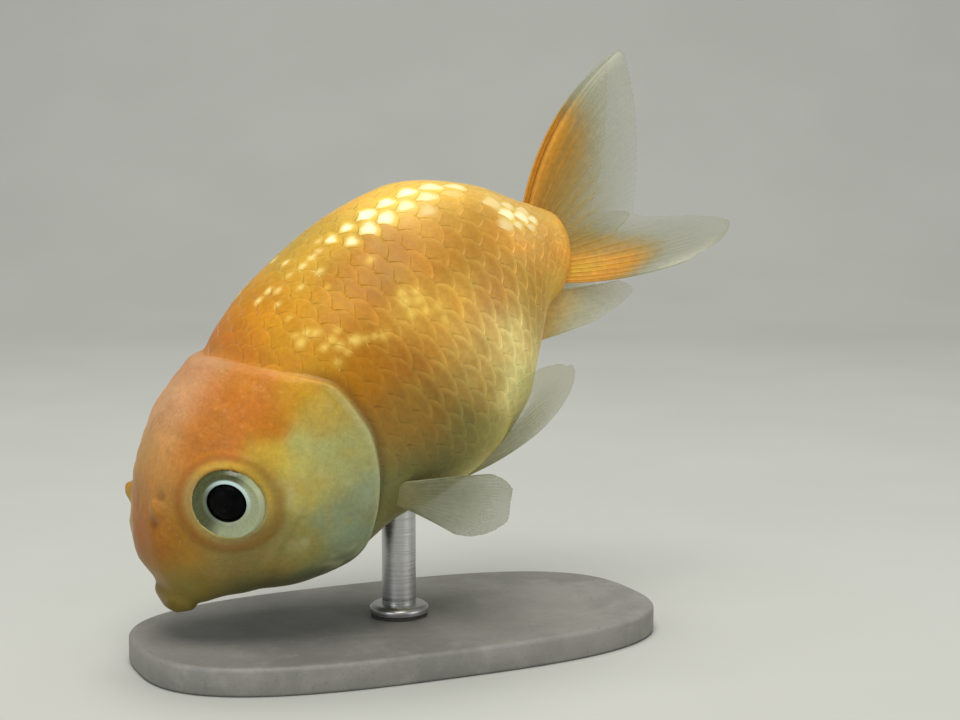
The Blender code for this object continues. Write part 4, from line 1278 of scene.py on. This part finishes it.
# ================================================================ the stand
def stand_materials():
    k = Nodes('stand_stone')
    big, mid, fine = k.noise(9, 4.0, 0.6), k.noise(1.6, 4.0, 0.6), k.noise(0.25, 2.0)
    col = k.mix(k.span(big, 0.35, 0.65), (0.20, 0.195, 0.18), (0.27, 0.262, 0.24))
    col = k.mix(k.span(mid, 0.45, 0.75, 0.0, 0.5), col, (0.34, 0.33, 0.30))
    col = k.mix(k.span(fine, 0.62, 0.72, 0.0, 0.5), col, (0.10, 0.10, 0.095))
    k.link(col, k.b.inputs['Base Color'])
    k.link(k.span(mid, 0.3, 0.7, 0.48, 0.62), k.b.inputs['Roughness'])
    k.link(k.bump(fine, 0.25, 0.05), k.b.inputs['Normal'])
    s = Nodes('stand_steel')
    tc = s.add('ShaderNodeMapping')
    s.link(s.coords(), tc.inputs['Vector'])
    tc.inputs['Scale'].default_value = (0.02, 0.02, 1.0)
    br = s.noise(0.12, 3.0, 0.6, vec=tc.outputs[0])
    s.link(s.mix(s.span(br, 0.3, 0.7), (0.42, 0.42, 0.42), (0.60, 0.60, 0.60)), s.b.inputs['Base Color'])
    s.b.inputs['Metallic'].default_value = 1.0
    s.link(s.span(br, 0.3, 0.7, 0.26, 0.42), s.b.inputs['Roughness'])
    s.link(s.bump(br, 0.12, 0.02), s.b.inputs['Normal'])
    f = Nodes('stand_felt')
    nn = f.noise(0.2, 3.0)
    f.link(f.mix(f.span(nn, 0.3, 0.7), (0.03, 0.03, 0.03), (0.07, 0.065, 0.06)), f.b.inputs['Base Color'])
    f.b.inputs['Roughness'].default_value = 0.9
    f.link(f.bump(nn, 0.5, 0.05), f.b.inputs['Normal'])
    return k.m, s.m, f.m


def ring_piece(name, rings, material, cap=True):
    """closed or open-ended body from a list of equal rings of points"""
    n = len(rings[0])
    V = np.concatenate(rings)
    F = grid_faces(len(rings), n, 0, wrap=True).tolist()
    if cap:
        F.append(list(range(n))[::-1])
        F.append(list(range((len(rings) - 1) * n, len(rings) * n)))
    ob = make_mesh(name, V, F, [material])
    ob.data.set_sharp_from_angle(angle=radians(32))
    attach(ob, "root")
    return ob


def build_stand():
    stone, steel, felt = stand_materials()
    # base: the plate's oval with a softly broken edge
    (x0, y0, z0), (x1, y1, z1) = (np.array(c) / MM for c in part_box('stand_base'))
    cx, lx, ly, p = (x0 + x1) / 2, (x1 - x0) / 2 - 0.01, (y1 - y0) / 2 - 0.01, 2 / 2.8
    a = np.linspace(0, 2 * pi, 241)[:-1]
    # points spread evenly over the oval's outline
    fine = np.linspace(0, 2 * pi, 4001)
    ex = lx * np.sign(np.cos(fine)) * np.abs(np.cos(fine)) ** p
    ey = ly * np.sign(np.sin(fine)) * np.abs(np.sin(fine)) ** p
    run = np.concatenate([[0], np.cumsum(np.hypot(np.diff(ex), np.diff(ey)))])
    at = np.interp(np.linspace(0, run[-1], 241)[:-1], run, fine)
    cs, sn = np.cos(at), np.sin(at)

    def oval(inset, z):
        return np.stack([cx + (lx - inset) * np.sign(cs) * np.abs(cs) ** p,
                         (ly - inset) * np.sign(sn) * np.abs(sn) ** p, 0 * at + z], -1)
    edge = [(0.40 * (1 - sin(t)), z1 - 0.40 * (1 - cos(t))) for t in np.linspace(pi / 2, 0, 7)]
    rings = [oval(0.3, z0), oval(0.2, z0 + 0.05), oval(0.05, z0 + 0.2), oval(0, z0 + 0.3), oval(0, z1 - 0.8)] + \
        [oval(i, z) for i, z in edge] + [oval(0.8, z1), oval(2.5, z1)]
    base = ring_piece('stand_plate', rings, stone)
    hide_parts('stand_base')
    # rod: turned and brushed, with a broken edge on its foot and a small fillet above it
    (u0, v0, w0), (u1, v1, w1) = (np.array(c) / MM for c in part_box('stand_rod'))
    rx, fr, foot = (u0 + u1) / 2, (u1 - u0) / 2 - 0.01, z1 + 0.32
    prof = [(1.44, w0 + 0.01), (1.49, w0 + 0.06), (1.49, foot), (fr - 0.10, foot), (fr - 0.03, foot + 0.03), (fr, foot + 0.10),
            (fr, foot + 0.44), (fr - 0.03, foot + 0.52), (fr - 0.30, foot + 0.76), (fr - 0.38, foot + 0.79), (1.62, foot + 0.79),
            (1.49, foot + 0.80), (1.49, foot + 1.4), (1.49, w1 - 0.32), (1.2, w1 - 0.02)]
    turn = np.linspace(0, 2 * pi, 97)[:-1]
    rings = [np.stack([rx + r * np.cos(turn), r * np.sin(turn), 0 * turn + h], -1) for r, h in prof]
    rod = ring_piece('stand_post', rings, steel)
    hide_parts('stand_rod')
    # a thin washer fills the gap between the rod's foot and the plate
    prof = [(1.6, z1 + 0.01), (fr - 0.25, z1 + 0.01), (fr - 0.12, z1 + 0.08), (fr - 0.12, z1 + 0.24), (fr - 0.25, z1 + 0.31),
            (1.6, z1 + 0.31), (1.6, z1 + 0.01)]
    rings = [np.stack([rx + r * np.cos(turn), r * np.sin(turn), 0 * turn + h], -1) for r, h in prof]
    ring_piece('stand_washer', rings, felt, cap=False)


# ================================================================ stage, light and camera
CAM_AZ, CAM_EL, CAM_DIST = -24.7, 6.85, 159.4
CAM_TARGET = (6.85, 0.0, 24.62)
CAM_LENS = 67.5


def build_stage():
    k = Nodes('studio_paper')
    n = k.noise(40, 2.0)
    k.link(k.mix(k.span(n, 0.3, 0.7), (0.50, 0.51, 0.475), (0.52, 0.53, 0.495)), k.b.inputs['Base Color'])
    k.b.inputs['Roughness'].default_value = 0.9
    # floor that curves up into a back wall, far behind the object
    az = radians(CAM_AZ)
    prof = [(-0.9, 0.0), (0.25, 0.0)]
    for t in np.linspace(0, 90, 17)[1:]:
        prof.append((0.25 + 0.22 * sin(radians(t)), 0.22 - 0.22 * cos(radians(t))))
    prof.append((0.47, 1.1))
    side = np.linspace(-1.2, 1.2, 9)
    right, back = np.array([cos(az), sin(az), 0]), np.array([-sin(az), cos(az), 0])
    V = np.array([[*(right * x + back * d)[:2], h] for d, h in prof for x in side]) / MM
    F = grid_faces(len(prof), len(side), 0)[:, ::-1]
    ob = make_mesh('studio_floor', V, F.tolist(), [k.m])


def area(name, loc, target, size, power, colour):
    d = bpy.data.lights.new(name, 'AREA')
    d.shape = 'DISK'
    d.size = size
    d.energy = power
    d.color = colour
    o = bpy.data.objects.new(name, d)
    o.location = loc
    v = Vector(target) - Vector(loc)
    o.rotation_euler = v.to_track_quat('-Z', 'Y').to_euler()
    bpy.context.scene.collection.objects.link(o)


def build_light_and_camera():
    sc = bpy.context.scene
    w = bpy.data.worlds.new('studio')
    w.use_nodes = True
    w.node_tree.nodes['Background'].inputs['Color'].default_value = (0.93, 0.97, 1.0, 1)
    w.node_tree.nodes['Background'].inputs['Strength'].default_value = 0.33
    sc.world = w
    area('key', (-0.10, -0.20, 0.42), (-0.002, 0, 0.02), 0.26, 1.30, (1.0, 0.97, 0.91))
    area('top', (0.03, 0.08, 0.45), (0, 0, 0.03), 0.22, 0.88, (1.0, 0.98, 0.94))
    area('side', (-0.42, -0.26, 0.12), (-0.01, 0, 0.02), 0.24, 0.35, (0.94, 0.98, 1.0))
    area('low', (0.26, -0.36, 0.06), (0.01, 0, 0.02), 0.22, 0.30, (1.0, 0.98, 0.94))
    sc.view_settings.view_transform = 'Standard'
    sc.view_settings.look = 'None'
    a, e = radians(CAM_AZ), radians(CAM_EL)
    t = Vector(CAM_TARGET) * MM
    pos = t + Vector((sin(a) * cos(e), -cos(a) * cos(e), sin(e))) * CAM_DIST * MM
    cd = bpy.data.cameras.new('camera')
    cd.lens = CAM_LENS
    cd.sensor_width = 36.0
    cd.sensor_fit = 'HORIZONTAL'
    cd.clip_start = 0.005
    cam = bpy.data.objects.new('camera', cd)
    cam.location = pos
    cam.rotation_euler = (t - pos).to_track_quat('-Z', 'Y').to_euler()
    sc.collection.objects.link(cam)
    sc.camera = cam


define_fins()
build_skin()
build_scales()
build_eyes()
build_stand()
build_stage()
build_light_and_camera()
bpy.context.view_layer.update()
